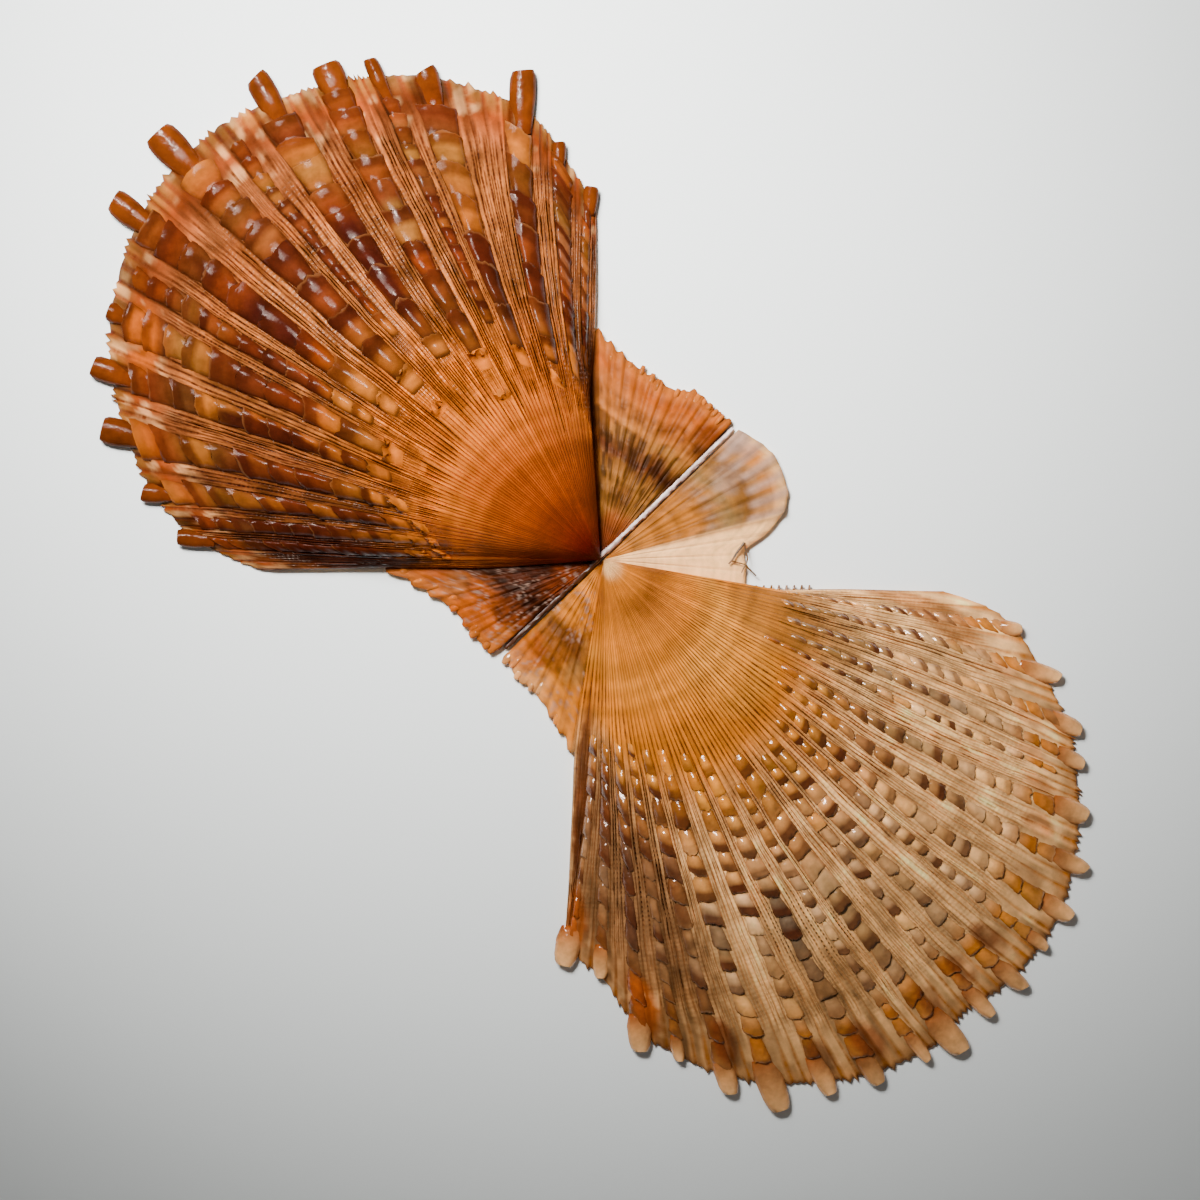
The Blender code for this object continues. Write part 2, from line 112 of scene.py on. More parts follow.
# The blank of a scale: squares across, steps along, and the rows that are grown into the rib
SCALE_ACROSS = 6
SCALE_STEPS = (0.0, 0.12, 0.34, 0.56, 0.74, 0.9, 1.0)
SCALE_GROWN = 4.0

# A scale's rounding across and outline along, and how deep its upper and lower sides are sunk
SCALE_ROUND = 2.6
SCALE_OUTLINE = ((0.0, 0.92), (0.3, 1.0), (0.7, 1.12), (1.0, 1.04))
SCALE_SUNK = 0.06
SCALE_ROOT = 0.4

# Shares of its length by which a scale reaches under the one before it and over the next
SCALE_TUCK = 0.1
SCALE_OVERHANG = 0.12

# Share of the scales whose front end gets hardly any painted shade
UNSHADED_FRONT_SHARE = 0.3

# Near the beak only the free lip of a left scale stands out, this long
EARLY_LIP = 2.6

# Height of a scale along its length: the left valve's have a free lip, the right valve's are pillows
LEFT_BARREL = ((0.0, 0.1), (0.12, 0.62), (0.34, 1.0), (0.56, 0.96), (0.74, 0.78), (0.9, 0.88), (1.0, 1.05))
RIGHT_BARREL = ((0.0, 0.0), (0.14, 0.12), (0.28, 0.62), (0.42, 1.0), (0.7, 1.02), (0.88, 0.92), (1.0, 0.8))

# Spines: where they leave the valve, their crest along them, and their level beyond the margin
SPINE_ROOT = 2.2
SPINE_CREST = ((0.0, 0.1), (0.1, 0.7), (0.4, 1.0), (1.0, 1.0))
SPINE_TOP = 1.15
SPINE_UNDER = 0.9

# Comb of teeth in the byssal notch: how many, the first one's distance from the beak, pitch and size
COMB_TEETH = 9
COMB_START = 18.0
COMB_PITCH = 0.92
COMB_TOOTH = (1.3, 0.36, 0.35)

# Strands of the byssal thread: radius and points
THREAD_STRANDS = (
    (0.17, ((18.87, 5.22, 1.85), (18.5, 4.7, 1.9), (18.02, 4.12, 1.95), (17.7, 3.6, 2.0),
            (17.32, 2.97, 2.0), (16.92, 2.62, 2.0))),
    (0.12, ((18.87, 5.22, 1.85), (18.95, 4.5, 1.8), (19.12, 3.82, 1.8), (19.3, 3.2, 1.8),
            (19.02, 2.52, 1.75), (18.7, 2.0, 1.8), (18.52, 1.52, 1.85))),
    (0.14, ((19.02, 2.52, 1.75), (19.3, 2.1, 1.7), (19.62, 1.87, 1.6), (20.32, 1.17, 1.2))),
    (0.10, ((17.32, 2.97, 2.0), (18.2, 2.72, 1.9), (19.02, 2.52, 1.75))),
)

# Painted shade, near black, put in the pits between the riblets and in the gaps under the scales' lips
HOLLOW_SHADE = (0.02, 0.006, 0.003, 1.0)

# The photograph: its side and the frame's origin in it, both in pixels, and the size of a pixel
PICTURE_SIDE = 1200
PICTURE_ORIGIN = (589.84, 585.3)
PIXEL = 0.122 * MM

# Floor, camera and lamps, in metres. A lamp has a name, a size, a share of the light and a place
FLOOR_SIZE = 4.0
FLOOR_DROP = 0.00005
CAMERA_LIFT = 0.002
LAMPS = (("window", 0.15, 0.8, (-0.10, 0.16, 0.28)), ("glint", 0.022, 0.2, (-0.07, 0.12, 0.31)))
LAMP_AIM = (-0.016, 0.066, 0.0)
LAMP_SPREAD = 46.0

Rib = namedtuple("Rib", "mid tip half height spine width first step last")
"""mid and tip are bearings, half is the half width in degrees, height the relief, spine the length
beyond the margin and width its breadth. first is the reach of the first scale, step and last are
the lengths of the first and the last scale."""

LEFT_RIBS = (
    Rib(182.0, 183.0, 1.0, 0.8, 2.0, 2.2, 17.0, 2.0, 2.2),
    Rib(185.8, 185.0, 1.2, 0.8, 0.0, 0.0, 18.0, 2.6, 2.4),
    Rib(189.8, 188.5, 1.4, 1.0, 1.5, 2.4, 19.0, 3.4, 2.6),
    Rib(195.0, 194.8, 1.7, 1.2, 3.05, 3.4, 21.0, 4.6, 3.2),
    Rib(201.4, 201.0, 1.5, 1.0, 2.4, 2.9, 26.0, 3.6, 2.8),
    Rib(206.8, 206.9, 1.8, 1.2, 0.5, 2.4, 20.6, 7.4, 2.4),
    Rib(211.2, 211.2, 1.1, 0.8, 0.0, 0.0, 31.0, 3.4, 2.6),
    Rib(215.8, 216.4, 1.7, 1.1, 3.9, 3.3, 25.4, 7.6, 3.0),
    Rib(223.1, 223.8, 2.0, 1.4, 4.4, 4.2, 18.4, 7.8, 3.0),
    Rib(227.6, 228.8, 0.8, 0.7, 0.0, 0.0, 36.0, 3.0, 2.4),
    Rib(232.4, 234.2, 1.8, 1.1, 3.5, 3.2, 27.6, 5.4, 3.2),
    Rib(239.1, 240.7, 1.8, 1.3, 2.5, 3.8, 14.6, 7.6, 2.8),
    Rib(244.9, 245.2, 0.9, 0.7, 2.3, 1.9, 31.0, 2.6, 2.2),
    Rib(248.7, 250.2, 1.5, 1.1, 0.8, 3.0, 21.0, 6.0, 3.2),
    Rib(256.4, 260.2, 1.7, 1.2, 4.3, 3.3, 17.2, 4.8, 3.8),
    Rib(262.5, 264.2, 1.2, 0.9, 0.8, 1.8, 22.0, 2.4, 2.0),
    Rib(266.0, 268.4, 0.8, 0.8, 1.4, 1.9, 23.0, 2.2, 2.0),
)

RIGHT_RIBS = (
    Rib(9.8, 9.6, 0.9, 0.6, 0.7, 1.8, 22.0, 1.6, 1.9),
    Rib(13.3, 14.5, 1.1, 0.8, 2.0, 2.1, 22.0, 1.6, 2.1),
    Rib(18.0, 19.6, 1.2, 0.8, 1.9, 2.2, 23.0, 1.8, 2.4),
    Rib(22.0, 23.1, 1.2, 0.8, 1.2, 2.0, 24.0, 2.1, 2.8),
    Rib(25.6, 25.0, 0.9, 0.7, 0.0, 0.0, 21.0, 2.1, 2.4),
    Rib(31.0, 28.2, 1.3, 0.9, 1.1, 2.8, 24.5, 2.2, 2.8),
    Rib(35.3, 33.0, 1.1, 0.8, 1.7, 2.3, 25.0, 2.3, 2.8),
    Rib(39.7, 37.6, 1.2, 0.9, 1.5, 2.4, 27.0, 2.4, 2.9),
    Rib(43.0, 41.3, 0.9, 0.7, 0.8, 1.6, 28.0, 2.1, 2.6),
    Rib(47.7, 45.7, 1.2, 0.9, 1.9, 2.2, 29.0, 2.3, 2.8),
    Rib(51.0, 49.7, 1.0, 0.8, 2.4, 2.0, 30.0, 2.3, 2.8),
    Rib(56.0, 54.1, 1.5, 1.0, 2.9, 3.2, 28.0, 2.6, 3.0),
    Rib(59.4, 57.1, 0.9, 0.7, 1.2, 1.6, 31.0, 2.2, 2.6),
    Rib(63.7, 62.3, 1.3, 0.9, 1.6, 2.4, 26.0, 2.5, 3.0),
    Rib(67.9, 67.0, 1.2, 0.9, 1.7, 2.4, 25.0, 2.6, 3.0),
    Rib(73.3, 72.3, 1.4, 1.0, 3.6, 3.3, 23.5, 3.3, 3.2),
    Rib(77.7, 76.7, 1.3, 0.9, 2.4, 2.5, 23.0, 3.0, 3.4),
    Rib(81.9, 81.4, 1.0, 0.7, 0.6, 1.6, 22.0, 2.3, 2.6),
    Rib(85.7, 85.7, 1.2, 0.9, 2.5, 2.8, 22.0, 2.7, 3.2),
    Rib(89.7, 90.4, 1.1, 0.8, 0.3, 2.0, 22.0, 2.2, 2.6),
    Rib(93.2, 95.3, 1.0, 0.8, 2.7, 3.0, 21.0, 2.2, 2.6),
)

LEFT = dict(
    beak_along=-0.49,
    beak_across=0.32,
    hinge_side=-1.0,
    first_flank=((0.0, 175.5), (12.5, 175.5), (20.0, 177.2), (26.3, 177.8), (41.5, 178.3)),
    last_flank=((0.0, 266.0), (7.5, 266.0), (14.5, 265.3), (19.5, 266.4), (28.0, 268.7), (42.5, 269.3)),
    ribs=LEFT_RIBS,
    disc_margin=(
        (178.3, 41.5), (180.5, 45.3), (183.0, 49.8), (186.0, 52.8), (190.0, 56.4), (196.0, 60.8),
        (203.0, 65.2), (210.0, 68.2), (217.0, 70.3), (224.0, 70.9), (231.0, 70.0), (238.0, 67.8),
        (245.0, 65.2), (250.0, 63.0), (255.0, 59.7), (258.0, 57.8), (260.5, 56.0), (262.5, 53.3),
        (266.0, 47.6), (269.3, 43.0)),
    first_ear=((138.93, 17.2), (148.0, 18.0), (160.0, 18.7), (168.0, 20.8), (174.0, 23.4), (177.8, 26.3)),
    last_ear=((268.7, 28.0), (273.0, 26.0), (278.0, 24.6), (286.0, 23.1), (294.0, 22.7), (301.0, 23.6),
              (307.0, 22.9), (313.86, 23.0)),
    height=13.0,
    beak_height=2.4,
    rim_height=1.0,
    ear_arch=0.7,
    umbo=0.285,
    ear_ribs=(9, 14),
    ear_lines=(36, 56),
)

RIGHT = dict(
    beak_along=-0.18,
    beak_across=0.55,
    hinge_side=1.0,
    first_flank=((0.0, 11.9), (12.0, 11.9), (17.5, 11.7), (21.0, 9.9), (25.0, 8.3), (31.0, 6.7), (41.7, 5.3)),
    last_flank=((0.0, 99.0), (17.0, 99.0), (23.5, 98.7), (30.0, 97.4), (39.0, 96.3), (46.5, 95.9)),
    ribs=RIGHT_RIBS,
    disc_margin=(
        (5.3, 41.7), (6.5, 45.8), (8.0, 49.0), (10.0, 51.5), (13.0, 54.2), (17.0, 57.8), (21.0, 61.2),
        (25.0, 63.8), (29.0, 66.3), (33.0, 68.4), (38.0, 70.6), (43.0, 71.4), (47.0, 71.4), (51.5, 70.6),
        (55.0, 71.8), (58.0, 71.6), (63.0, 70.6), (68.0, 68.9), (73.0, 66.8), (78.0, 63.9), (82.0, 60.9),
        (85.5, 58.0), (87.5, 54.9), (90.0, 51.2), (93.0, 49.2), (95.9, 46.6)),
    first_ear=((-43.97, 22.9), (-38.0, 23.7), (-31.0, 24.4), (-24.0, 24.2), (-18.0, 23.6), (-13.0, 22.0),
               (-9.0, 20.2), (-4.0, 17.4), (3.0, 17.4), (11.7, 17.5)),
    last_ear=((98.7, 23.8), (101.0, 22.6), (105.0, 21.0), (112.0, 19.2), (119.0, 18.2), (127.0, 17.6),
              (136.03, 17.0)),
    height=9.5,
    beak_height=1.7,
    rim_height=0.9,
    ear_arch=0.6,
    umbo=0.36,
    ear_ribs=(11, 8),
    ear_lines=(48, 32),
)

# Colours along growth, for the crests of the riblets, for the furrows, and for the scales
LEFT_RIBLET_COLOURS = ((0.0, "umbo"), (0.03, "garnet"), (0.1, "ember"), (0.2, "orange"), (0.3, "flame"),
                       (0.4, "flame"), (0.5, "apricot"), (0.6, "tan"), (0.8, "tan"), (0.88, "rose"),
                       (0.95, "rust"), (1.0, "bronze"))
LEFT_FURROW_COLOURS = ((0.0, "umbo"), (0.04, "garnet"), (0.12, "rust"), (0.24, "ember"), (0.36, "rust"),
                       (0.5, "brown"), (0.62, "maroon"), (0.82, "maroon"), (0.92, "brown"), (1.0, "rust"))
LEFT_SCALE_COLOURS = ((0.0, "ember"), (0.26, "orange"), (0.4, "honey"), (0.5, "honey"), (0.6, "rust"),
                      (0.74, "brown"), (0.84, "olive"), (0.92, "rust"), (1.0, "honey"))
RIGHT_RIBLET_COLOURS = ((0.0, "cream"), (0.022, "cream"), (0.045, "amber"), (0.1, "honey"), (0.18, "amber"),
                        (0.24, "straw"), (0.3, "amber"), (0.38, "amber"), (0.46, "sand"), (0.56, "cream"),
                        (0.96, "cream"), (1.0, "sand"))
RIGHT_FURROW_COLOURS = ((0.0, "straw"), (0.025, "amber"), (0.05, "brown"), (0.36, "brown"),
                        (0.46, "bronze"), (0.6, "apricot"), (0.7, "sand"), (0.9, "sand"), (1.0, "amber"))
RIGHT_SCALE_COLOURS = ((0.0, "amber"), (0.36, "amber"), (0.46, "straw"), (0.56, "sand"), (0.66, "cream"),
                       (0.84, "cream"), (0.91, "amber"), (1.0, "sand"))

Stain = namedtuple("Stain", "bearing growth wide long colour strength on")
"""An oval of colour on the disc. wide is half its width in degrees and long half its length in
growth. on holds r for riblets, f for furrows and s for scales."""

LEFT_STAINS = (
    Stain(181.0, 0.68, 5.5, 0.24, "blackish", 0.9, "rfs"),
    Stain(187.5, 0.70, 2.2, 0.20, "blackish", 0.8, "fs"),
    Stain(193.5, 0.70, 2.6, 0.14, "maroon", 0.7, "fs"),
    Stain(200.8, 0.66, 1.9, 0.15, "blackish", 0.95, "fs"),
    Stain(210.5, 0.66, 1.9, 0.13, "maroon", 0.85, "fs"),
    Stain(215.5, 0.74, 2.3, 0.16, "blackish", 0.95, "fs"),
    Stain(223.0, 0.68, 2.2, 0.04, "maroon", 0.6, "fs"),
    Stain(232.2, 0.65, 2.3, 0.18, "blackish", 0.95, "fs"),
    Stain(239.0, 0.70, 2.2, 0.06, "olive", 0.6, "s"),
    Stain(244.6, 0.62, 2.8, 0.14, "maroon", 0.8, "f"),
    Stain(249.0, 0.57, 2.2, 0.14, "blackish", 0.75, "fs"),
    Stain(257.4, 0.60, 2.4, 0.13, "maroon", 0.75, "fs"),
    Stain(266.5, 0.50, 4.0, 0.17, "blackish", 0.8, "rfs"),
    Stain(264.5, 0.74, 4.0, 0.10, "rose", 0.6, "rfs"),
    Stain(224.0, 0.85, 9.0, 0.05, "rose", 0.7, "rf"),
    Stain(200.0, 0.40, 13.0, 0.06, "rose", 0.25, "r"),
    Stain(206.0, 0.93, 4.0, 0.04, "orange", 0.8, "rfs"),
    Stain(190.0, 0.66, 13.0, 0.26, "maroon", 0.55, "rfs"),
    Stain(256.0, 0.30, 14.0, 0.30, "rust", 0.4, "rf"),
    Stain(187.0, 0.34, 9.0, 0.09, "rust", 0.55, "r"),
    Stain(226.0, 0.79, 22.0, 0.06, "rust", 0.35, "rs"),
)

RIGHT_STAINS = (
    Stain(75.0, 0.20, 26.0, 0.13, "amber", 0.7, "rf"),
    Stain(35.0, 0.30, 22.0, 0.08, "straw", 0.6, "r"),
    Stain(19.0, 0.50, 11.0, 0.14, "drab", 0.8, "fs"),
    Stain(13.0, 0.72, 5.0, 0.14, "drab", 0.6, "fs"),
    Stain(9.0, 0.82, 5.0, 0.10, "apricot", 0.6, "rfs"),
    Stain(22.5, 0.70, 1.8, 0.12, "grey", 0.7, "s"),
    Stain(27.0, 0.52, 3.5, 0.06, "drab", 0.7, "fs"),
    Stain(31.6, 0.64, 1.8, 0.13, "drab", 0.7, "s"),
    Stain(35.8, 0.70, 1.6, 0.14, "bronze", 0.7, "s"),
    Stain(48.0, 0.80, 1.8, 0.10, "grey", 0.6, "s"),
    Stain(56.0, 0.74, 2.0, 0.13, "drab", 0.7, "s"),
    Stain(63.7, 0.74, 2.0, 0.15, "grey", 0.85, "fs"),
    Stain(75.0, 0.47, 8.0, 0.05, "brown", 0.75, "fs"),
    Stain(73.4, 0.71, 1.8, 0.07, "grey", 0.8, "s"),
    Stain(77.6, 0.62, 2.0, 0.10, "brown", 0.7, "fs"),
    Stain(77.6, 0.86, 1.8, 0.07, "brown", 0.7, "s"),
    Stain(86.0, 0.72, 2.2, 0.14, "grey", 0.9, "fs"),
    Stain(90.0, 0.60, 3.0, 0.16, "brown", 0.6, "fs"),
    Stain(95.0, 0.60, 2.0, 0.30, "brown", 0.9, "rf"),
    Stain(87.0, 0.74, 14.0, 0.34, "brown", 0.8, "rfs"),
    Stain(19.0, 0.36, 12.0, 0.11, "bronze", 0.7, "rf"),
    Stain(72.0, 0.94, 20.0, 0.16, "bronze", 0.3, "rfs"),
    Stain(46.0, 0.92, 1.4, 0.05, "rust", 0.8, "rfs"),
    Stain(50.0, 0.93, 1.2, 0.04, "rust", 0.7, "rfs"),
    Stain(55.0, 0.94, 1.5, 0.04, "rust", 0.7, "rfs"),
    Stain(62.6, 0.94, 1.7, 0.05, "rust", 0.8, "rfs"),
    Stain(67.2, 0.95, 1.4, 0.04, "rust", 0.6, "rfs"),
    Stain(76.8, 0.93, 1.7, 0.06, "rust", 0.8, "rfs"),
    Stain(85.0, 0.93, 2.0, 0.07, "orange", 0.9, "rfs"),
    Stain(94.0, 0.92, 3.0, 0.09, "orange", 0.8, "rfs"),
    Stain(38.5, 0.92, 1.2, 0.04, "rust", 0.4, "rfs"),
    Stain(33.4, 0.92, 1.2, 0.04, "orange", 0.6, "rfs"),
    Stain(28.8, 0.92, 1.2, 0.04, "orange", 0.5, "rfs"),
    Stain(24.0, 0.90, 1.2, 0.04, "orange", 0.5, "rfs"),
    Stain(19.5, 0.90, 1.2, 0.04, "orange", 0.4, "rfs"),
    Stain(14.5, 0.90, 1.2, 0.04, "orange", 0.4, "rfs"),
    Stain(18.0, 0.47, 9.0, 0.11, "bronze", 0.5, "r"),
    Stain(63.0, 0.80, 9.0, 0.07, "bronze", 0.4, "rs"),
)

Patch = namedtuple("Patch", "x y size colour strength")
"""A round patch of colour on an ear, placed in millimetres."""

LEFT_EAR_PATCHES = (
    Patch(2.0, 23.0, 4.5, "apricot", 0.5),
    Patch(5.7, 17.0, 1.8, "brown", 0.5),
    Patch(10.5, 18.6, 2.2, "orange", 0.4),
    Patch(7.8, 14.8, 1.8, "brown", 0.5),
    Patch(14.6, 17.0, 3.0, "maroon", 0.6),
    Patch(3.4, 13.5, 2.4, "bronze", 0.5),
    Patch(4.0, 10.8, 1.8, "brown", 0.5),
    Patch(7.0, 10.0, 2.6, "bronze", 0.5),
    Patch(3.0, 6.5, 3.0, "rust", 0.6),
    Patch(-2.5, 0.5, 4.0, "rust", 0.8),
    Patch(-9.0, -1.5, 4.0, "maroon", 0.6),
    Patch(-14.5, -3.0, 3.5, "orange", 0.9),
    Patch(-16.3, 0.2, 2.0, "tan", 0.8),
    Patch(-10.0, -7.0, 2.5, "apricot", 0.8),
)

RIGHT_EAR_PATCHES = (
    Patch(10.0, 8.6, 6.0, "amber", 0.45),
    Patch(15.2, 14.6, 2.4, "bronze", 0.6),
    Patch(18.3, 11.6, 3.0, "bronze", 0.7),
    Patch(16.6, 13.0, 2.2, "mauve", 0.4),
    Patch(19.8, 15.9, 1.5, "amber", 0.8),
    Patch(18.0, 17.8, 2.0, "mauve", 0.8),
    Patch(21.6, 12.5, 1.6, "amber", 0.6),
    Patch(-1.0, -3.0, 3.5, "amber", 0.9),
    Patch(-4.0, -7.5, 4.0, "brown", 0.7),
    Patch(-2.0, -11.0, 2.2, "drab", 0.5),
    Patch(-8.0, -8.0, 3.0, "orange", 0.6),
    Patch(-3.0, -16.0, 4.5, "amber", 0.8),
)


def linear(code):
    """The linear colour that a six-figure colour code stands for."""
    parts = [int(code[i:i + 2], 16) / 255.0 for i in (0, 2, 4)]
    return tuple(((p + 0.055) / 1.055) ** 2.4 if p > 0.04045 else p / 12.92 for p in parts)


def colour_property(label, code, note):
    return FloatVectorProperty(name=label, description=note, subtype="COLOR", size=3, min=0.0, max=1.0,
                               default=linear(code))


def length_property(label, default, top, note, low=0.0):
    """A length, with its limits in millimetres."""
    return FloatProperty(name=label, description=note, default=default * MM, min=low * MM, max=top * MM,
                         unit="LENGTH", precision=5)


def share_property(label, default, top, note, low=0.0):
    return FloatProperty(name=label, description=note, default=default, min=low, max=top, subtype="FACTOR")


class ShellColours(bpy.types.PropertyGroup):
    umbo: colour_property("Umbo", "3f0703", "Dark red-brown at the left valve's beak")
    garnet: colour_property("Garnet", "671003", "Deep red round the left valve's beak")
    rust: colour_property("Rust", "6c2b0a", "Burnt orange of the left valve's inner disc")
    ember: colour_property("Ember", "893407", "Red orange of the left valve's inner disc")
    orange: colour_property("Orange", "95430a", "Clear orange of the left valve")
    flame: colour_property("Flame", "b15b12", "Brightest orange of the left valve")
    apricot: colour_property("Apricot", "99521d", "Light orange of ribs and margins")
    tan: colour_property("Tan", "864b21", "Pale pinkish tan of the left riblets")
    rose: colour_property("Rose", "733d1d", "Dull rose of the outer bands")
    maroon: colour_property("Maroon", "351207", "Dark maroon of furrows and scales")
    blackish: colour_property("Blackish maroon", "280a05", "Darkest sectors of the left valve")
    brown: colour_property("Brown", "4d230d", "Warm brown of shaded scales")
    honey: colour_property("Honey", "8e4d14", "Brownish amber of translucent scales")
    olive: colour_property("Olive brown", "694319", "Horny olive brown of the outer scales")
    amber: colour_property("Amber", "b56510", "Golden orange of the right valve")
    straw: colour_property("Straw", "c57c27", "Straw yellow of the right valve's fine riblets")
    bronze: colour_property("Bronze", "81501f", "Golden brown of the right furrows")
    sand: colour_property("Sand", "c4854c", "Sandy tan of the right margin")
    cream: colour_property("Cream", "ebb173", "Cream of the right riblets and the byssal band")
    drab: colour_property("Drab", "6c512d", "Greyish brown of the right scales")
    grey: colour_property("Grey brown", "544432", "Darkest grey brown of the right scales")
    mauve: colour_property("Mauve", "957767", "Greyish mauve of ear patches and ligament")


class ReliefSettings(bpy.types.PropertyGroup):
    riblet: length_property("Riblet relief", 0.25, 2.0, "Height of the fine riblets")
    umbo_riblet: length_property("Umbo riblet relief", 0.07, 1.0,
                                 "Height of the finest riblets near the beak")
    left_scale: share_property("Left scale height", 0.78, 2.0,
                               "Share of a left rib's relief that its scales take", 0.1)
    right_scale: share_property("Right scale height", 0.75, 2.0,
                                "Share of a right rib's relief that its scales take", 0.1)
    left_flare: share_property("Left lip flare", 0.35, 3.0, "How far the free lips of the left scales rise")
    right_flare: share_property("Right lip flare", 0.3, 3.0, "How far the free lips of the right scales rise")
    lip: length_property("Lip thickness", 0.2, 1.0, "Thickness of a scale's free lip", 0.05)


class StageSettings(bpy.types.PropertyGroup):
    floor: colour_property("Floor", "e4e9e8", "Colour of the plain floor")
    lamp: FloatProperty(name="Window light", description="Power of the soft light from the upper left",
                        default=0.44, min=0.0, max=200.0, unit="POWER")
    sky: FloatProperty(name="Room light", description="Strength of the even light all round", default=0.12,
                       min=0.0, max=5.0)
    lens: FloatProperty(name="Lens", description="Focal length of the camera in millimetres", default=110.0,
                        min=20.0, max=300.0, unit="CAMERA")


def settings():
    return bpy.context.scene.shell_relief


def palette():
    """The named colours as they stand in the panel."""
    group = bpy.context.scene.shell_colours
    return {name: np.array(getattr(group, name)[:]) for name in ShellColours.__annotations__}


# Shape of a valve


def curve(points, x):
    """A smooth curve through points (x, y), read at each x."""
    px, py = np.array(points, float).T
    before = np.maximum(np.arange(len(px)) - 1, 0)
    after = np.minimum(np.arange(len(px)) + 1, len(px) - 1)
    slope = (py[after] - py[before]) / (px[after] - px[before])
    x = np.clip(x, px[0], px[-1])
    i = np.clip(np.searchsorted(px, x, side="right") - 1, 0, len(px) - 2)
    span = px[i + 1] - px[i]
    t = (x - px[i]) / span
    return ((2 * t ** 3 - 3 * t ** 2 + 1) * py[i] + (t ** 3 - 2 * t ** 2 + t) * span * slope[i]
            + (3 * t ** 2 - 2 * t ** 3) * py[i + 1] + (t ** 3 - t ** 2) * span * slope[i + 1])


def smooth_step(value, low, high):
    t = np.clip((value - low) / (high - low), 0.0, 1.0)
    return t * t * (3.0 - 2.0 * t)


def blend(a, b, share):
    """a where the share is 0 and b where it is 1."""
    return a * (1.0 - share) + b * share


def hump(u, power):
    """A rounded rise across a scale, 1 in its middle and 0 at its sides."""
    return np.maximum(0.0, 1.0 - np.abs(u) ** SCALE_ROUND) ** power


def direction(bearing):
    turn = np.radians(bearing)
    return np.cos(turn), -np.sin(turn)


def on_hinge(along, across):
    ux, uy = direction(HINGE_BEARING)
    return HINGE_POINT[0] + along * ux + across * uy, HINGE_POINT[1] + along * uy - across * ux


def patchy(x, y, size, seed):
    """Soft random values from 0 to 1, in lumps of about the given size."""
    table = np.random.default_rng(seed).random((97, 89))
    fx, fy = np.asarray(x) / size, np.asarray(y) / size
    ix, iy = np.floor(fx).astype(int), np.floor(fy).astype(int)
    tx, ty = fx - ix, fy - iy
    tx, ty = tx * tx * (3 - 2 * tx), ty * ty * (3 - 2 * ty)
    rows, cols = table.shape
    near = table[ix % rows, iy % cols] * (1 - tx) + table[(ix + 1) % rows, iy % cols] * tx
    far = table[ix % rows, (iy + 1) % cols] * (1 - tx) + table[(ix + 1) % rows, (iy + 1) % cols] * tx
    return near * (1 - ty) + far * ty


def first_lip(rib):
    """Reach at which a rib's first scale leaves the surface: a long first scale is flush at first."""
    return rib.first + (0.5 * rib.step if rib.step > 4.0 else 0.0)


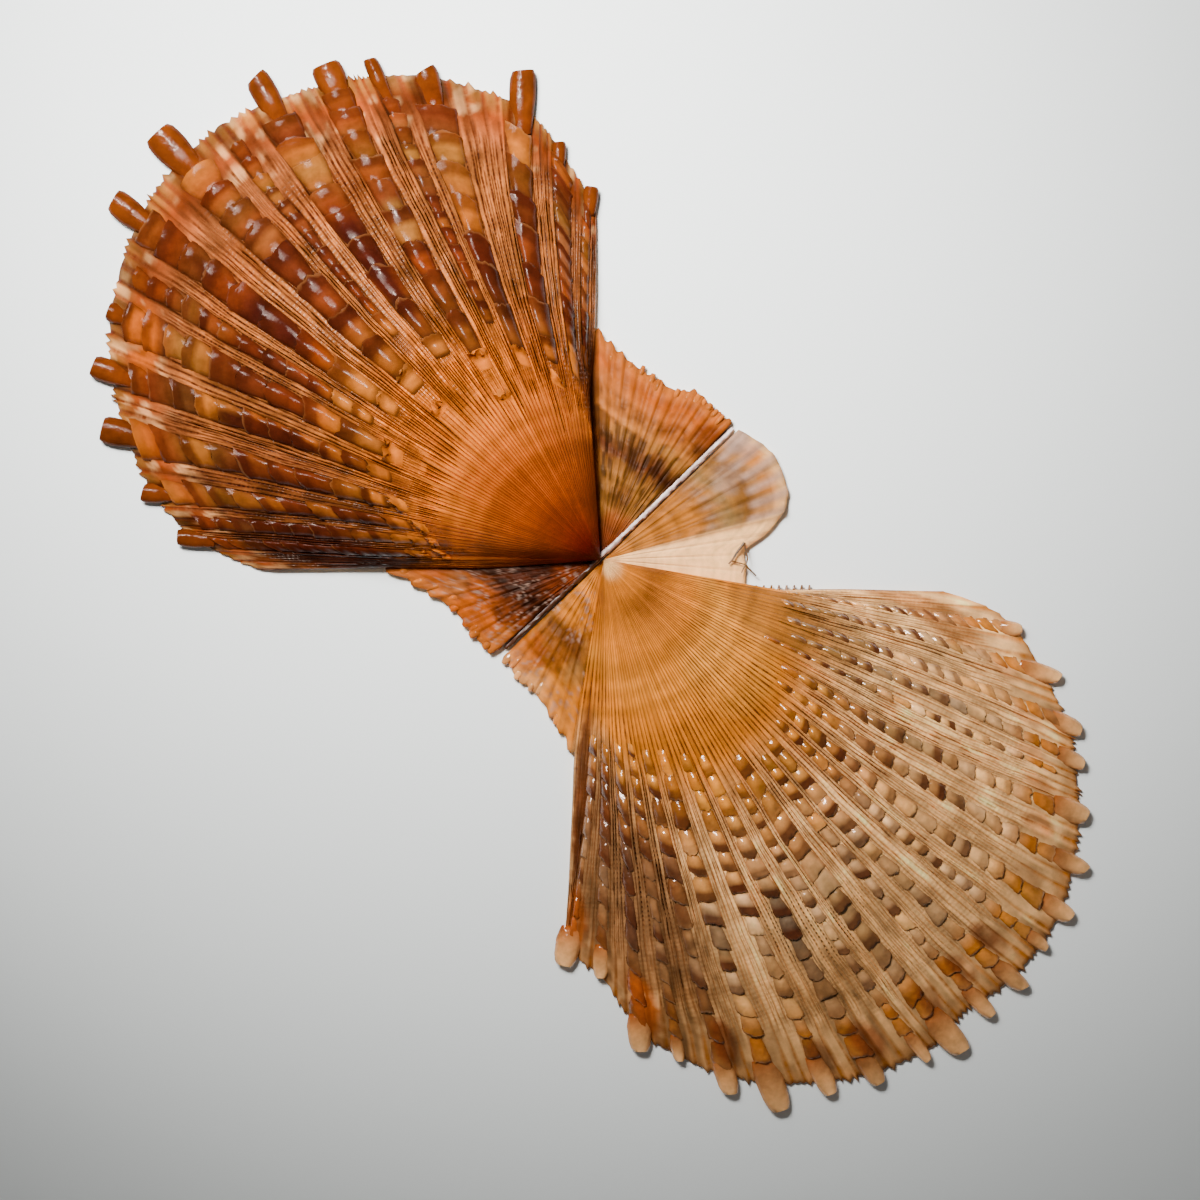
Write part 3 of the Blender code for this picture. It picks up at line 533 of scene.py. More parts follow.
class Valve:
    """The shared shape of one valve: where a reference bearing and a growth lie, and how high."""

    def __init__(self, form):
        self.form = form
        self.ribs = form["ribs"]
        self.origin = on_hinge(form["beak_along"], form["beak_across"])
        self.low = float(curve(form["first_flank"], RIB_READ * form["first_flank"][-1][0]))
        self.high = float(curve(form["last_flank"], RIB_READ * form["last_flank"][-1][0]))
        self.stops = np.array([self.low] + [rib.mid for rib in self.ribs] + [self.high])
        self.tips = np.array([self.low] + [rib.tip for rib in self.ribs] + [self.high])
        self.edges, self.kinds = self.ridges()

    def ridges(self):
        """The edges of every rib and riblet as reference bearings, and which of them are ribs."""
        chance = np.random.default_rng(17)
        edges = [self.low]
        kinds = []
        for number in range(len(self.ribs) + 1):
            rib = self.ribs[number] if number < len(self.ribs) else None
            gap = (rib.mid - rib.half if rib else self.high) - edges[-1]
            count = max(1, round(gap / RIBLET_PITCH))
            shares = 0.55 + 0.9 * chance.random(count)
            start = edges[-1]
            for share in np.cumsum(shares) / shares.sum():
                edges.append(start + gap * share)
                kinds.append(-1)
            if rib:
                edges.append(rib.mid + rib.half)
                kinds.append(number)
        kinds = np.array(kinds)
        self.strength = 0.7 + 0.55 * chance.random(len(kinds))
        widths = np.diff(edges)
        self.split = np.where(kinds < 0, 1, np.maximum(2, np.round(widths / RIBLET_PITCH))).astype(int)
        starts = np.array([first_lip(rib) for rib in self.ribs] + [0.0])
        self.first = np.where(kinds < 0, 1e3, starts[kinds])
        self.count = np.concatenate([[0], np.cumsum(self.split)[:-1]])
        return np.array(edges), kinds

    def guide(self, i, growth):
        """Bearing of a rib or a flank at a growth."""
        swing = np.maximum(0.0, (growth - RIB_STRAIGHT) / (1.0 - RIB_STRAIGHT)) ** RIB_SWING
        bearing = self.stops[i] + (self.tips[i] - self.stops[i]) * swing
        first, last = self.form["first_flank"], self.form["last_flank"]
        bearing = np.where(i == 0, curve(first, growth * first[-1][0]), bearing)
        return np.where(i == len(self.stops) - 1, curve(last, growth * last[-1][0]), bearing)

    def bearing(self, q, growth):
        i = np.clip(np.searchsorted(self.stops, q, side="right") - 1, 0, len(self.stops) - 2)
        share = (q - self.stops[i]) / (self.stops[i + 1] - self.stops[i])
        return self.guide(i, growth) * (1.0 - share) + self.guide(i + 1, growth) * share

    def reach(self, q):
        q = np.asarray(q, float)
        return curve(self.form["disc_margin"], self.bearing(q, np.ones_like(q)))

    def sway(self, q, growth):
        """Small sideways wander of the ribs and riblets, in degrees."""
        span = growth * self.reach(q)
        side = self.across(q)
        inside = smooth_step(growth, 0.15, 0.4) * (1.0 - smooth_step(growth, 0.9, 1.0))
        inside = inside * smooth_step(side, 0.0, 0.06) * smooth_step(1.0 - side, 0.0, 0.06)
        return inside * (0.32 * patchy(q, span * 0.6, 4.0, 61) + 0.16 * patchy(q, span * 0.5, 1.1, 62) - 0.24)

    def at(self, bearing, out):
        """The place at a bearing and a distance from the beak."""
        dx, dy = direction(bearing)
        return self.origin[0] + dx * out, self.origin[1] + dy * out

    def place(self, q, growth):
        return self.at(self.bearing(q, growth) + self.sway(q, growth), growth * self.reach(q))

    def across(self, q):
        return np.clip((q - self.low) / (self.high - self.low), 0.0, 1.0)

    def dome(self, q, growth):
        inside = np.clip(growth, 0.0, 1.0)
        rise = np.maximum(0.0, np.sin(np.pi * inside ** PROFILE_POWER)) ** PROFILE_ROUND
        side = np.maximum(0.0, 1.0 - np.abs(2.0 * self.across(q) - 1.0) ** CROSS_POWER) ** CROSS_ROUND
        return self.form["height"] * rise * side

    def edge_height(self, growth):
        beak, rim = self.form["beak_height"], self.form["rim_height"]
        return beak + (rim - beak) * np.clip(growth, 0.0, 1.0) ** 0.5

    def smooth_height(self, q, growth):
        return self.edge_height(growth) + self.dome(q, growth)

    def phase(self, q):
        """Which ridge a bearing is on, plus how far across it, from 0 to 1."""
        i = np.clip(np.searchsorted(self.edges, q, side="right") - 1, 0, len(self.kinds) - 1)
        part = (q - self.edges[i]) / (self.edges[i + 1] - self.edges[i])
        return i, np.clip(part, 0.0, 1.0)

    def waves(self, q, growth):
        """Which ridge, how far across it, the running number of its riblet, and how far a scaly rib
        has taken over."""
        i, part = self.phase(q)
        span = growth * self.reach(q)
        taken = smooth_step(span, self.first[i] - 1.5, self.first[i] + 1.0)
        return i, part, self.count[i] + part * self.split[i], taken

    def relief(self, q, growth):
        """Height of ribs and riblets above the smooth valve, in millimetres."""
        i, part, number, taken = self.waves(q, growth)
        ramp = smooth_step(growth, self.form["umbo"] - 0.06, self.form["umbo"] + 0.12)
        fine = settings().umbo_riblet / MM * smooth_step(growth, 0.02, 0.1)
        high = settings().riblet / MM * self.strength[i] * (1.0 - 0.45 * smooth_step(growth, 0.86, 1.0))
        high = high * (0.6 + 0.8 * patchy(i, growth * self.reach(q) / 1.9, 1.0, 63))
        pairs = np.abs(np.sin(0.5 * np.pi * number))
        riblet = fine * (1.0 - ramp) * pairs + high * ramp * np.abs(np.sin(np.pi * number))
        rib = 0.12 * np.sin(np.pi * part) ** 0.5
        return blend(riblet, rib, taken)


# Meshes


def deselect():
    if bpy.context.object is not None and bpy.context.object.mode != "OBJECT":
        bpy.ops.object.mode_set(mode="OBJECT")
    bpy.ops.object.select_all(action="DESELECT")


def only(piece):
    deselect()
    piece.select_set(True)
    bpy.context.view_layer.objects.active = piece


def read_vectors(items, name):
    """The vectors that a mesh's items hold under a name, one in a row."""
    flat = np.zeros(len(items) * 3)
    items.foreach_get(name, flat)
    return flat.reshape(-1, 3)


def select_faces(piece, chosen):
    """Selects the chosen faces and leaves the piece in edit mode."""
    bpy.ops.object.mode_set(mode="EDIT")
    bpy.ops.mesh.select_mode(type="FACE")
    bpy.ops.mesh.select_all(action="DESELECT")
    bpy.ops.object.mode_set(mode="OBJECT")
    piece.data.polygons.foreach_set("select", chosen)
    bpy.ops.object.mode_set(mode="EDIT")


def slab(name, columns, rows, unwanted=None):
    """A flat slab of columns by rows squares, one unit apart and one unit thick.

    unwanted tells, from the middle of a square, whether it is cut away before the slab gets its
    thickness. Returns the object and each vertex's column, row and side (1 above, 0 below)."""
    deselect()
    bpy.ops.mesh.primitive_grid_add(x_subdivisions=columns, y_subdivisions=rows, size=1.0)
    piece = bpy.context.object
    piece.name = piece.data.name = name
    flat = read_vectors(piece.data.vertices, "co")
    flat = np.column_stack([np.round((flat[:, 0] + 0.5) * columns), np.round((flat[:, 1] + 0.5) * rows),
                            0 * flat[:, 2]])
    piece.data.vertices.foreach_set("co", flat.ravel())
    if unwanted is not None:
        centres = read_vectors(piece.data.polygons, "center")
        select_faces(piece, unwanted(centres[:, 0], centres[:, 1]))
        bpy.ops.mesh.delete(type="FACE")
        bpy.ops.object.mode_set(mode="OBJECT")
    bpy.ops.object.mode_set(mode="EDIT")
    bpy.ops.mesh.select_all(action="SELECT")
    bpy.ops.mesh.extrude_region_move(TRANSFORM_OT_translate={"value": (0.0, 0.0, 1.0)})
    bpy.ops.mesh.select_all(action="SELECT")
    bpy.ops.mesh.normals_make_consistent(inside=False)
    bpy.ops.object.mode_set(mode="OBJECT")
    made = np.round(read_vectors(piece.data.vertices, "co")).astype(int)
    return piece, made[:, 0], made[:, 1], made[:, 2]


def set_places(piece, x, y, z):
    places = np.column_stack([x, y, z]) * MM
    piece.data.vertices.foreach_set("co", places.astype(np.float32).ravel())
    piece.data.update()


def set_values(piece, name, values):
    """Stores a value or a colour for each vertex."""
    values = np.asarray(values, np.float32)
    if values.ndim == 2:
        layer = piece.data.color_attributes.new(name, "FLOAT_COLOR", "POINT")
        full = np.column_stack([values, np.ones(len(values), np.float32)])
        layer.data.foreach_set("color", full.ravel())
    else:
        layer = piece.data.attributes.new(name, "FLOAT", "POINT")
        layer.data.foreach_set("value", values)


def merge_close(piece, distance):
    only(piece)
    bpy.ops.object.mode_set(mode="EDIT")
    bpy.ops.mesh.select_all(action="SELECT")
    bpy.ops.mesh.remove_doubles(threshold=distance)
    bpy.ops.object.mode_set(mode="OBJECT")


def shade(piece, angle):
    only(piece)
    bpy.ops.object.shade_smooth_by_angle(angle=math.radians(angle))


def settle(piece, node, material):
    """Gives a piece its finish and its place in the frame."""
    piece.data.materials.clear()
    piece.data.materials.append(material)
    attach(piece, "root")
    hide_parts(node)


# Colours of the shell


def along_growth(stops, growth, colours):
    """A colour read along growth from named stops."""
    at = [g for g, _ in stops]
    table = np.array([colours[name] for _, name in stops])
    return np.column_stack([np.interp(growth, at, table[:, k]) for k in range(3)])


def stain_over(colour, stains, q, growth, mark, colours):
    """Lays the stains that carry the mark over a colour."""
    ragged = 0.35 * (patchy(q, growth * 60.0, 0.9, 5) - 0.5)
    for stain in stains:
        if mark not in stain.on:
            continue
        distance = ((q - stain.bearing) / stain.wide) ** 2 + ((growth - stain.growth) / stain.long) ** 2
        weight = stain.strength * np.clip(1.6 - 1.6 * distance + ragged, 0.0, 1.0)[:, None]
        colour = blend(colour, colours[stain.colour], weight)
    return colour


def patch_over(colour, patches, x, y, colours):
    """Lays an ear's patches over a colour."""
    ragged = 0.9 * (patchy(x, y, 0.8, 7) - 0.5)
    for patch in patches:
        distance = np.hypot(x - patch.x, y - patch.y) / patch.size
        weight = patch.strength * np.clip(1.5 - 1.5 * distance ** 2 + ragged, 0.0, 1.0)[:, None]
        colour = blend(colour, colours[patch.colour], weight)
    return colour


def stained(look, kind, q, growth, colours):
    """The colour of riblets, furrows or scales with its stains."""
    return stain_over(along_growth(look[kind], growth, colours), look["stains"], q, growth, kind[0], colours)


def disc_colours(valve, look, q, growth):
    """Colours of the disc under the scales: the pale crests and the darker furrows, with painted shade where
    a scaly rib has taken over.
    """
    colours = palette()
    _, _, number, taken = valve.waves(q, growth)
    number = np.floor(number)
    span = growth * valve.reach(q)
    umbo = valve.form["umbo"]
    blotch = 0.3 * smooth_step(patchy(q, span, 1.3, 69), 0.6, 0.8) * smooth_step(growth, 0.84, 0.92)
    crest = blend(stained(look, "riblet", q, growth, colours), colours["cream"], blotch[:, None])
    furrow = stained(look, "furrow", q, growth, colours)
    each = 0.7 + 0.5 * np.random.default_rng(23).random(600)[number.astype(int)]
    outer = smooth_step(growth, umbo - 0.05, umbo + 0.2)
    along = 1.0 + outer * 0.7 * (patchy(number, span / 1.7, 1.0, 65) - 0.5)
    lumps = 1.0 + (0.2 + look["mottle"] * outer) * (patchy(q, span * 0.6, 1.9, 11) - 0.5)
    rings = 1.0 + (0.4 - 0.25 * outer) * (patchy(span, 0.0 * q, 1.1, 67) - 0.5)
    tone = (lumps * rings)[:, None]
    # painted shade on the disc under and beside the scales of a rib
    shade_in = (1.0 - look["under"] * taken * smooth_step(growth, 0.32, 0.5))[:, None]
    return crest * tone * (each * along)[:, None] * shade_in, furrow * tone * shade_in


LOOKS = {
    "left": dict(
        riblet=LEFT_RIBLET_COLOURS, furrow=LEFT_FURROW_COLOURS, scale=LEFT_SCALE_COLOURS,
        stains=LEFT_STAINS, patches=LEFT_EAR_PATCHES,
        first_ear=((0.0, "maroon"), (0.3, "maroon"), (0.6, "brown"), (0.85, "orange"), (1.0, "apricot")),
        last_ear=((0.0, "umbo"), (0.12, "brown"), (0.28, "bronze"), (0.42, "bronze"), (0.54, "brown"),
                  (0.66, "bronze"), (0.78, "apricot"), (0.9, "orange"), (1.0, "apricot")),
        # ears and disc
        spots=1.0, cells=0.0, back_is_last=False, banded=False, rough_ears=("first_ear", "last_ear"),
        # under sets the painted shade on the disc where a scaly rib has taken over
        mottle=0.8, streak=(0.55, 1.3), furrow_range=(0.4, 0.84), under=0.55,
        pitted=((247.0, 0.65, 11.0, 0.26), (211.0, 0.7, 7.0, 0.16), (193.0, 0.7, 6.0, 0.12)),
        # scales
        seed=41, barrel=LEFT_BARREL, early=1.0, breadth=1.0, slimming=0.0, roundness=0.7, first_flare=1.0,
        dimple=0.0, late_rise=0.0, depth=0.75, deep=(0.42, 0.66), dark="maroon", light="honey",
        # front sets where a scale's end takes painted shade, partly the lips' darker pigment; the share after
        # it lessens that shade near the margin, and the next one sets the painted highlight in the middle
        front=(0.5, 0.78), faded=0.3, glow=0.35, warmth=0.4,
        lip_code="a06838", lip_share=0.16, gloss=0.045, ripple=0.06,
        # spines
        spine=((0.0, "rust"), (1.0, "rust")), spine_depth=0.48,
        spine_width=((0.0, 0.66), (0.3, 0.86), (0.58, 1.0), (0.92, 0.96), (1.0, 0.8))),
    "right": dict(
        riblet=RIGHT_RIBLET_COLOURS, furrow=RIGHT_FURROW_COLOURS, scale=RIGHT_SCALE_COLOURS,
        stains=RIGHT_STAINS, patches=RIGHT_EAR_PATCHES,
        first_ear=((0.0, "amber"), (0.2, "bronze"), (0.5, "bronze"), (0.7, "drab"), (0.82, "bronze"),
                   (0.93, "sand"), (1.0, "cream")),
        last_ear=((0.0, "amber"), (0.5, "bronze"), (0.8, "amber"), (1.0, "sand")),
        # ears and disc
        spots=0.5, cells=0.8, back_is_last=True, banded=True, rough_ears=("last_ear",),
        # under sets the painted shade on the disc where a scaly rib has taken over
        mottle=0.4, streak=(0.82, 1.12), furrow_range=(0.48, 0.92), under=0.15,
        pitted=((60.0, 0.7, 9.0, 0.1), (84.0, 0.62, 7.0, 0.16)),
        # scales
        seed=43, barrel=RIGHT_BARREL, early=0.0, breadth=1.08, slimming=0.4, roundness=0.9, first_flare=0.15,
        dimple=0.45, late_rise=0.4, depth=0.45, deep=(0.3, 0.5), dark="brown", light="straw",
        # front sets where a scale's end takes painted shade, partly the lips' darker pigment; the share after
        # it lessens that shade near the margin, and the next one sets the painted highlight in the middle
        front=(0.46, 0.68), faded=0.85, glow=0.3, warmth=0.35,
        lip_code="d8b890", lip_share=0.1, gloss=0.6, ripple=0.22,
        # spines
        spine=((0.0, "orange"), (0.45, "sand"), (1.0, "cream")), spine_depth=0.9,
        spine_width=((0.0, 0.8), (0.3, 1.05), (0.6, 1.0), (0.85, 0.9), (1.0, 0.62))),
}


# Valve sheets


def disc_lines(valve):
    """Reference bearings of the disc's columns, the same number on every riblet."""
    lines = []
    for k, parts in enumerate(valve.split):
        lines.extend(np.linspace(valve.edges[k], valve.edges[k + 1], RIBLET_LINES * parts, endpoint=False))
    lines.append(valve.edges[-1])
    return np.array(lines)


def shared_rows(r, ear_row, ear_growth):
    """Growth along a flank: one row of the sheet ends where the ear's margin meets the disc."""
    return np.where(r <= ear_row, ear_growth * r / ear_row,
                    ear_growth + (1.0 - ear_growth) * (r - ear_row) / (ROWS - ear_row))


def ear_surface(valve, start, banded, share, e, flank):
    """The ear at the start or the end of the disc's columns: its places, height and ribs.

    share runs along its outline, e is 0 at the beak and 1 at its margin, and flank is the disc's growth
    where that margin meets the disc."""
    form = valve.form
    outline = form["first_ear" if start else "last_ear"]
    ribs = form["ear_ribs"][0 if start else 1]
    t = 1.0 - share if start else share
    bearing = outline[0][0] + (outline[-1][0] - outline[0][0]) * share
    band = smooth_step(bearing, *BAND_EDGE) * banded
    rib_wave = np.sin(np.pi * (ribs * t + 0.22 * np.sin(7.0 * e + 3.0 * t))) ** 2
    knob = smooth_step(e, 0.92, 1.0) * rib_wave * patchy(t * ribs, 0.0 * t, 1.0, 31) ** 1.5 * (1.0 - band)
    x, y = valve.at(bearing, e * curve(outline, bearing) + knob * (0.3 if banded else 1.0))
    steps = e * EAR_STEPS + 0.5 * patchy(t * 6.0, e * 5.0, 1.0, 35)
    lamella = EAR_STEP_HEIGHT * (steps - np.floor(steps)) ** 2
    fine = (EAR_RIB_HEIGHT * rib_wave + lamella) * (1.0 - band) + 0.02 * patchy(e, 0.0 * e, 0.05, 33)
    seam = smooth_step(t, 0.0, 0.06) * smooth_step(1.0 - t, 0.0, 0.06)
    height = valve.edge_height(flank * e) + form["ear_arch"] * np.sin(np.pi * e) * np.sin(np.pi * t)
    height = height + fine * smooth_step(e, 0.08, 0.3) * (1.0 - 0.6 * smooth_step(e, 0.9, 1.0)) * seam
    if banded:
        fold = np.exp(-((bearing - BAND_FOLD) / BAND_FOLD_WIDTH) ** 2)
        height = height + BAND_FOLD_HEIGHT * fold * smooth_step(e, 0.1, 0.6)
    height = height - EAR_RIM_FALL * smooth_step(e, 0.95, 1.0) + 0.5 * knob
    return dict(x=x, y=y, top=height, under=0.0, growth=flank * e, turn=t, ear=e, ripple=rib_wave, band=band)


def build_valve(side):
    """The fine sheet of a valve: the disc in the middle of its columns and an ear at either end."""
    form = LEFT if side == "left" else RIGHT
    look = LOOKS[side]
    valve = Valve(form)
    lines = disc_lines(valve)
    first, last_lines = form["ear_lines"]
    last = first + len(lines) - 1
    first_growth = form["first_ear"][-1][1] / float(valve.reach(valve.low))
    last_growth = form["last_ear"][0][1] / float(valve.reach(valve.high))
    first_row = round(first_growth * ROWS)
    last_row = round(last_growth * ROWS)

    def beyond_ears(cx, cy):
        return ((cx < first) & (cy > first_row)) | ((cx > last) & (cy > last_row))

    piece, c, r, above = slab(side + "_valve_shell", last + last_lines, ROWS, beyond_ears)
    is_top = above == 1
    on_disc = (c >= first) & (c <= last)
    q = lines[np.clip(c - first, 0, len(lines) - 1)]

    # growth runs evenly in the middle and meets the ears' rows along the flanks
    across = valve.across(q)
    plain = growth = r / ROWS
    for inwards, row, flank in ((across, first_row, first_growth), (1.0 - across, last_row, last_growth)):
        near = np.maximum(0.0, 1.0 - inwards / FLANK_BLEND)
        growth = growth + near * (shared_rows(r, row, flank) - plain)

    i, part, _, _ = valve.waves(q, growth)
    x, y = valve.place(q, growth)
    top = valve.smooth_height(q, growth) + valve.relief(q, growth)
    top = top - MARGIN_THINNING * smooth_step(growth, 0.955, 1.0)
    hollow = np.maximum(0.0, INNER_SHARE * valve.dome(q, growth) - INNER_DROP)
    under = hollow + INNER_WAVE * np.sin(np.pi * part) * smooth_step(growth, 0.5, 0.95) * (hollow > 0.0)
    under = np.where((growth > 0.0) & (growth < 0.999), under, 0.0)

    # fringe of the margin: every riblet ends in a small tooth
    tooth = smooth_step(growth, 0.984, 1.0) * np.where(valve.kinds[i] < 0, FRINGE, RIB_FRINGE)
    tooth = tooth * np.sin(np.pi * part) ** 0.9
    tooth = tooth * (0.1 + 1.5 * np.random.default_rng(29).random(len(valve.kinds))[i]) * on_disc
    dx, dy = direction(valve.bearing(q, growth))

    none = np.zeros(len(c))
    sheet = dict(x=x + dx * tooth, y=y + dy * tooth, top=top, under=under, growth=growth, turn=none, ear=none,
                 ripple=none, band=none)
    ends = ((True, c < first, c / first, first_row, first_growth),
            (False, c > last, (c - last) / last_lines, last_row, last_growth))
    for start, chosen, share, row, flank in ends:
        surface = ear_surface(valve, start, start and look["banded"], share, r / row, flank)
        for name, values in surface.items():
            sheet[name] = np.where(chosen, values, sheet[name])

    # the lower side starts clear of the hinge line and meets the upper side at the margin
    away = 1.0 - np.where(on_disc, sheet["growth"], sheet["ear"])
    sx, sy = on_hinge(0.0, (form["hinge_side"] * HINGE_CLEARANCE - form["beak_across"]) * away)
    x = np.where(is_top, sheet["x"], sheet["x"] + sx - HINGE_POINT[0])
    y = np.where(is_top, sheet["y"], sheet["y"] + sy - HINGE_POINT[1])
    top = np.where(r == 0, form["beak_height"], sheet["top"])
    under = np.where((c == first) | (c == last) | (r == 0), 0.0, sheet["under"])
    set_places(piece, x, y, np.where(is_top, top, under))

    paint_valve(piece, valve, look, q, sheet, on_disc, c > last, is_top)
    merge_close(piece, 1e-6)
    shade(piece, 95.0)
    return piece


def paint_valve(piece, valve, look, q, sheet, on_disc, is_last, is_top):
    """Stores a sheet's two colours and what its material needs to know of the riblets."""
    colours = palette()
    growth, ear, band = sheet["growth"], sheet["ear"], sheet["band"]
    crest, furrow = disc_colours(valve, look, q, growth)
    silk = colours["cream"] * (0.84 + 0.32 * patchy(ear, 0.0 * ear, 0.02, 27))[:, None]
    ears = blend(ear_colour(look, is_last, sheet, colours), silk, band[:, None])
    blush = (0.7 * smooth_step(growth, 0.82, 1.0) * on_disc)[:, None]
    inside = blend(colours["cream"], colours["apricot"], blush)
    groove = ears * (0.74 + 0.26 * band)[:, None]
    for name, values, on_ear in (("pigment", crest, ears), ("furrow", furrow, groove)):
        values = np.where(on_disc[:, None], values, on_ear)
        set_values(piece, name, np.clip(np.where(is_top[:, None], values, inside), 0.0, 1.0))

    _, _, number, taken = valve.waves(q, growth)
    umbo, ear_ribs = valve.form["umbo"], valve.form["ear_ribs"]
    outer = smooth_step(growth, umbo, umbo + 0.12) * (1.0 - smooth_step(growth, 0.86, 0.95))
    pitted = (0.1 + 0.9 * region(q, growth, look["pitted"])) * smooth_step(growth, 0.4, 0.55)
    folds = np.where(is_last, ear_ribs[1], ear_ribs[0]) * 1.5
    set_values(piece, "ridge", np.where(on_disc, number, 300.0 + folds * sheet["turn"]))
    set_values(piece, "span", np.where(on_disc, growth * valve.reach(q), ear * 20.0))
    set_values(piece, "pitted", outer * pitted * (1.0 - taken) * on_disc * is_top)
    set_values(piece, "outer", outer * on_disc * is_top)


def region(q, growth, spots):
    """How far points lie within any of some ovals (bearing, growth, half width, half length)."""
    inside = 0.0 * q
    for bearing, middle, wide, long in spots:
        distance = ((q - bearing) / wide) ** 2 + ((growth - middle) / long) ** 2
        inside = np.maximum(inside, np.clip(1.6 - 1.6 * distance, 0.0, 1.0))
    return inside


def ear_colour(look, is_last, sheet, colours):
    """Mottled bands across an ear, darker between its ribs and in scattered squares."""
    x, y, turn, ear, ripple = (sheet[name] for name in ("x", "y", "turn", "ear", "ripple"))
    bands = np.where(is_last[:, None], along_growth(look["last_ear"], ear, colours),
                     along_growth(look["first_ear"], ear, colours))
    bands = patch_over(bands, look["patches"], x, y, colours)

    # rows of dark spots that fade towards the margin
    mottle = patchy(turn * 30.0, ear * 17.0, 1.0, 21)
    rows = smooth_step(patchy(ear, 0.0 * ear, 0.06, 37), 0.25, 0.6)
    spots = rows * np.clip((mottle - 0.42) * 5.0, 0.0, 1.0) * smooth_step(ear, 0.15, 0.4)
    spots = spots * (1.0 - smooth_step(ear, 0.74, 0.86)) * look["spots"]
    bands = bands * (1.0 - 0.68 * spots)[:, None]

    # pale flecks on the back ear, pale squares in rows on the front ear
    back = is_last == look["back_is_last"]
    flecks = back * 0.6 * smooth_step(patchy(x, y, 0.3, 22), 0.66, 0.8)
    flecks = flecks * smooth_step(patchy(x, y, 2.2, 24), 0.4, 0.6)
    cells = look["cells"] * ~back * smooth_step(ear, 0.5, 0.66) * ripple
    cells = cells * smooth_step(patchy(ear, 0.0 * ear, 0.07, 26), 0.3, 0.6)
    bands = blend(bands, 0.9 * colours["mauve"], np.maximum(flecks, cells)[:, None])
    lines = 0.5 * (patchy(ear + 0.02 * patchy(turn * 5.0, ear * 3.0, 1.0, 36), 0.0 * ear, 0.03, 28) - 0.5)
    return bands * (0.84 + 0.2 * ripple + 0.3 * (mottle - 0.5) + lines)[:, None]


# Scales and spines


def scale_blank():
    """One scale in plain numbers: u across from -1 to 1, v along from 0 to 1, above or not, and faces.

    Its lower side is one face as far as the free lip, because it is grown into the rib."""
    piece, _, _, _ = slab("scale_blank", SCALE_ACROSS, len(SCALE_STEPS) - 1)
    faces = piece.data.polygons
    lower = read_vectors(faces, "normal")[:, 2] < -0.5
    select_faces(piece, lower & (read_vectors(faces, "center")[:, 1] < SCALE_GROWN))
    bpy.ops.mesh.dissolve_faces(use_verts=False)
    bpy.ops.object.mode_set(mode="OBJECT")
    places = np.round(read_vectors(piece.data.vertices, "co")).astype(int)
    u = 2.0 * places[:, 0] / SCALE_ACROSS - 1.0
    v = np.array(SCALE_STEPS)[places[:, 1]]
    faces = [list(face.vertices) for face in piece.data.polygons]
    bpy.data.objects.remove(piece, do_unlink=True)
    return u, v, places[:, 2] == 1, faces


def scale_spans(rib, reach, chance):
    """Where the scales of one rib begin and end, as distances from the beak."""
    spans = []
    at = rib.first
    while True:
        share = np.clip((at - rib.first) / (reach - rib.first), 0.0, 1.0)
        length = (rib.step + (rib.last - rib.step) * share ** 0.7) * (0.86 + 0.28 * chance.random())
        if at + length > reach - 1.2:
            return spans, at
        spans.append((max(at, first_lip(rib)), at + length))
        at += length


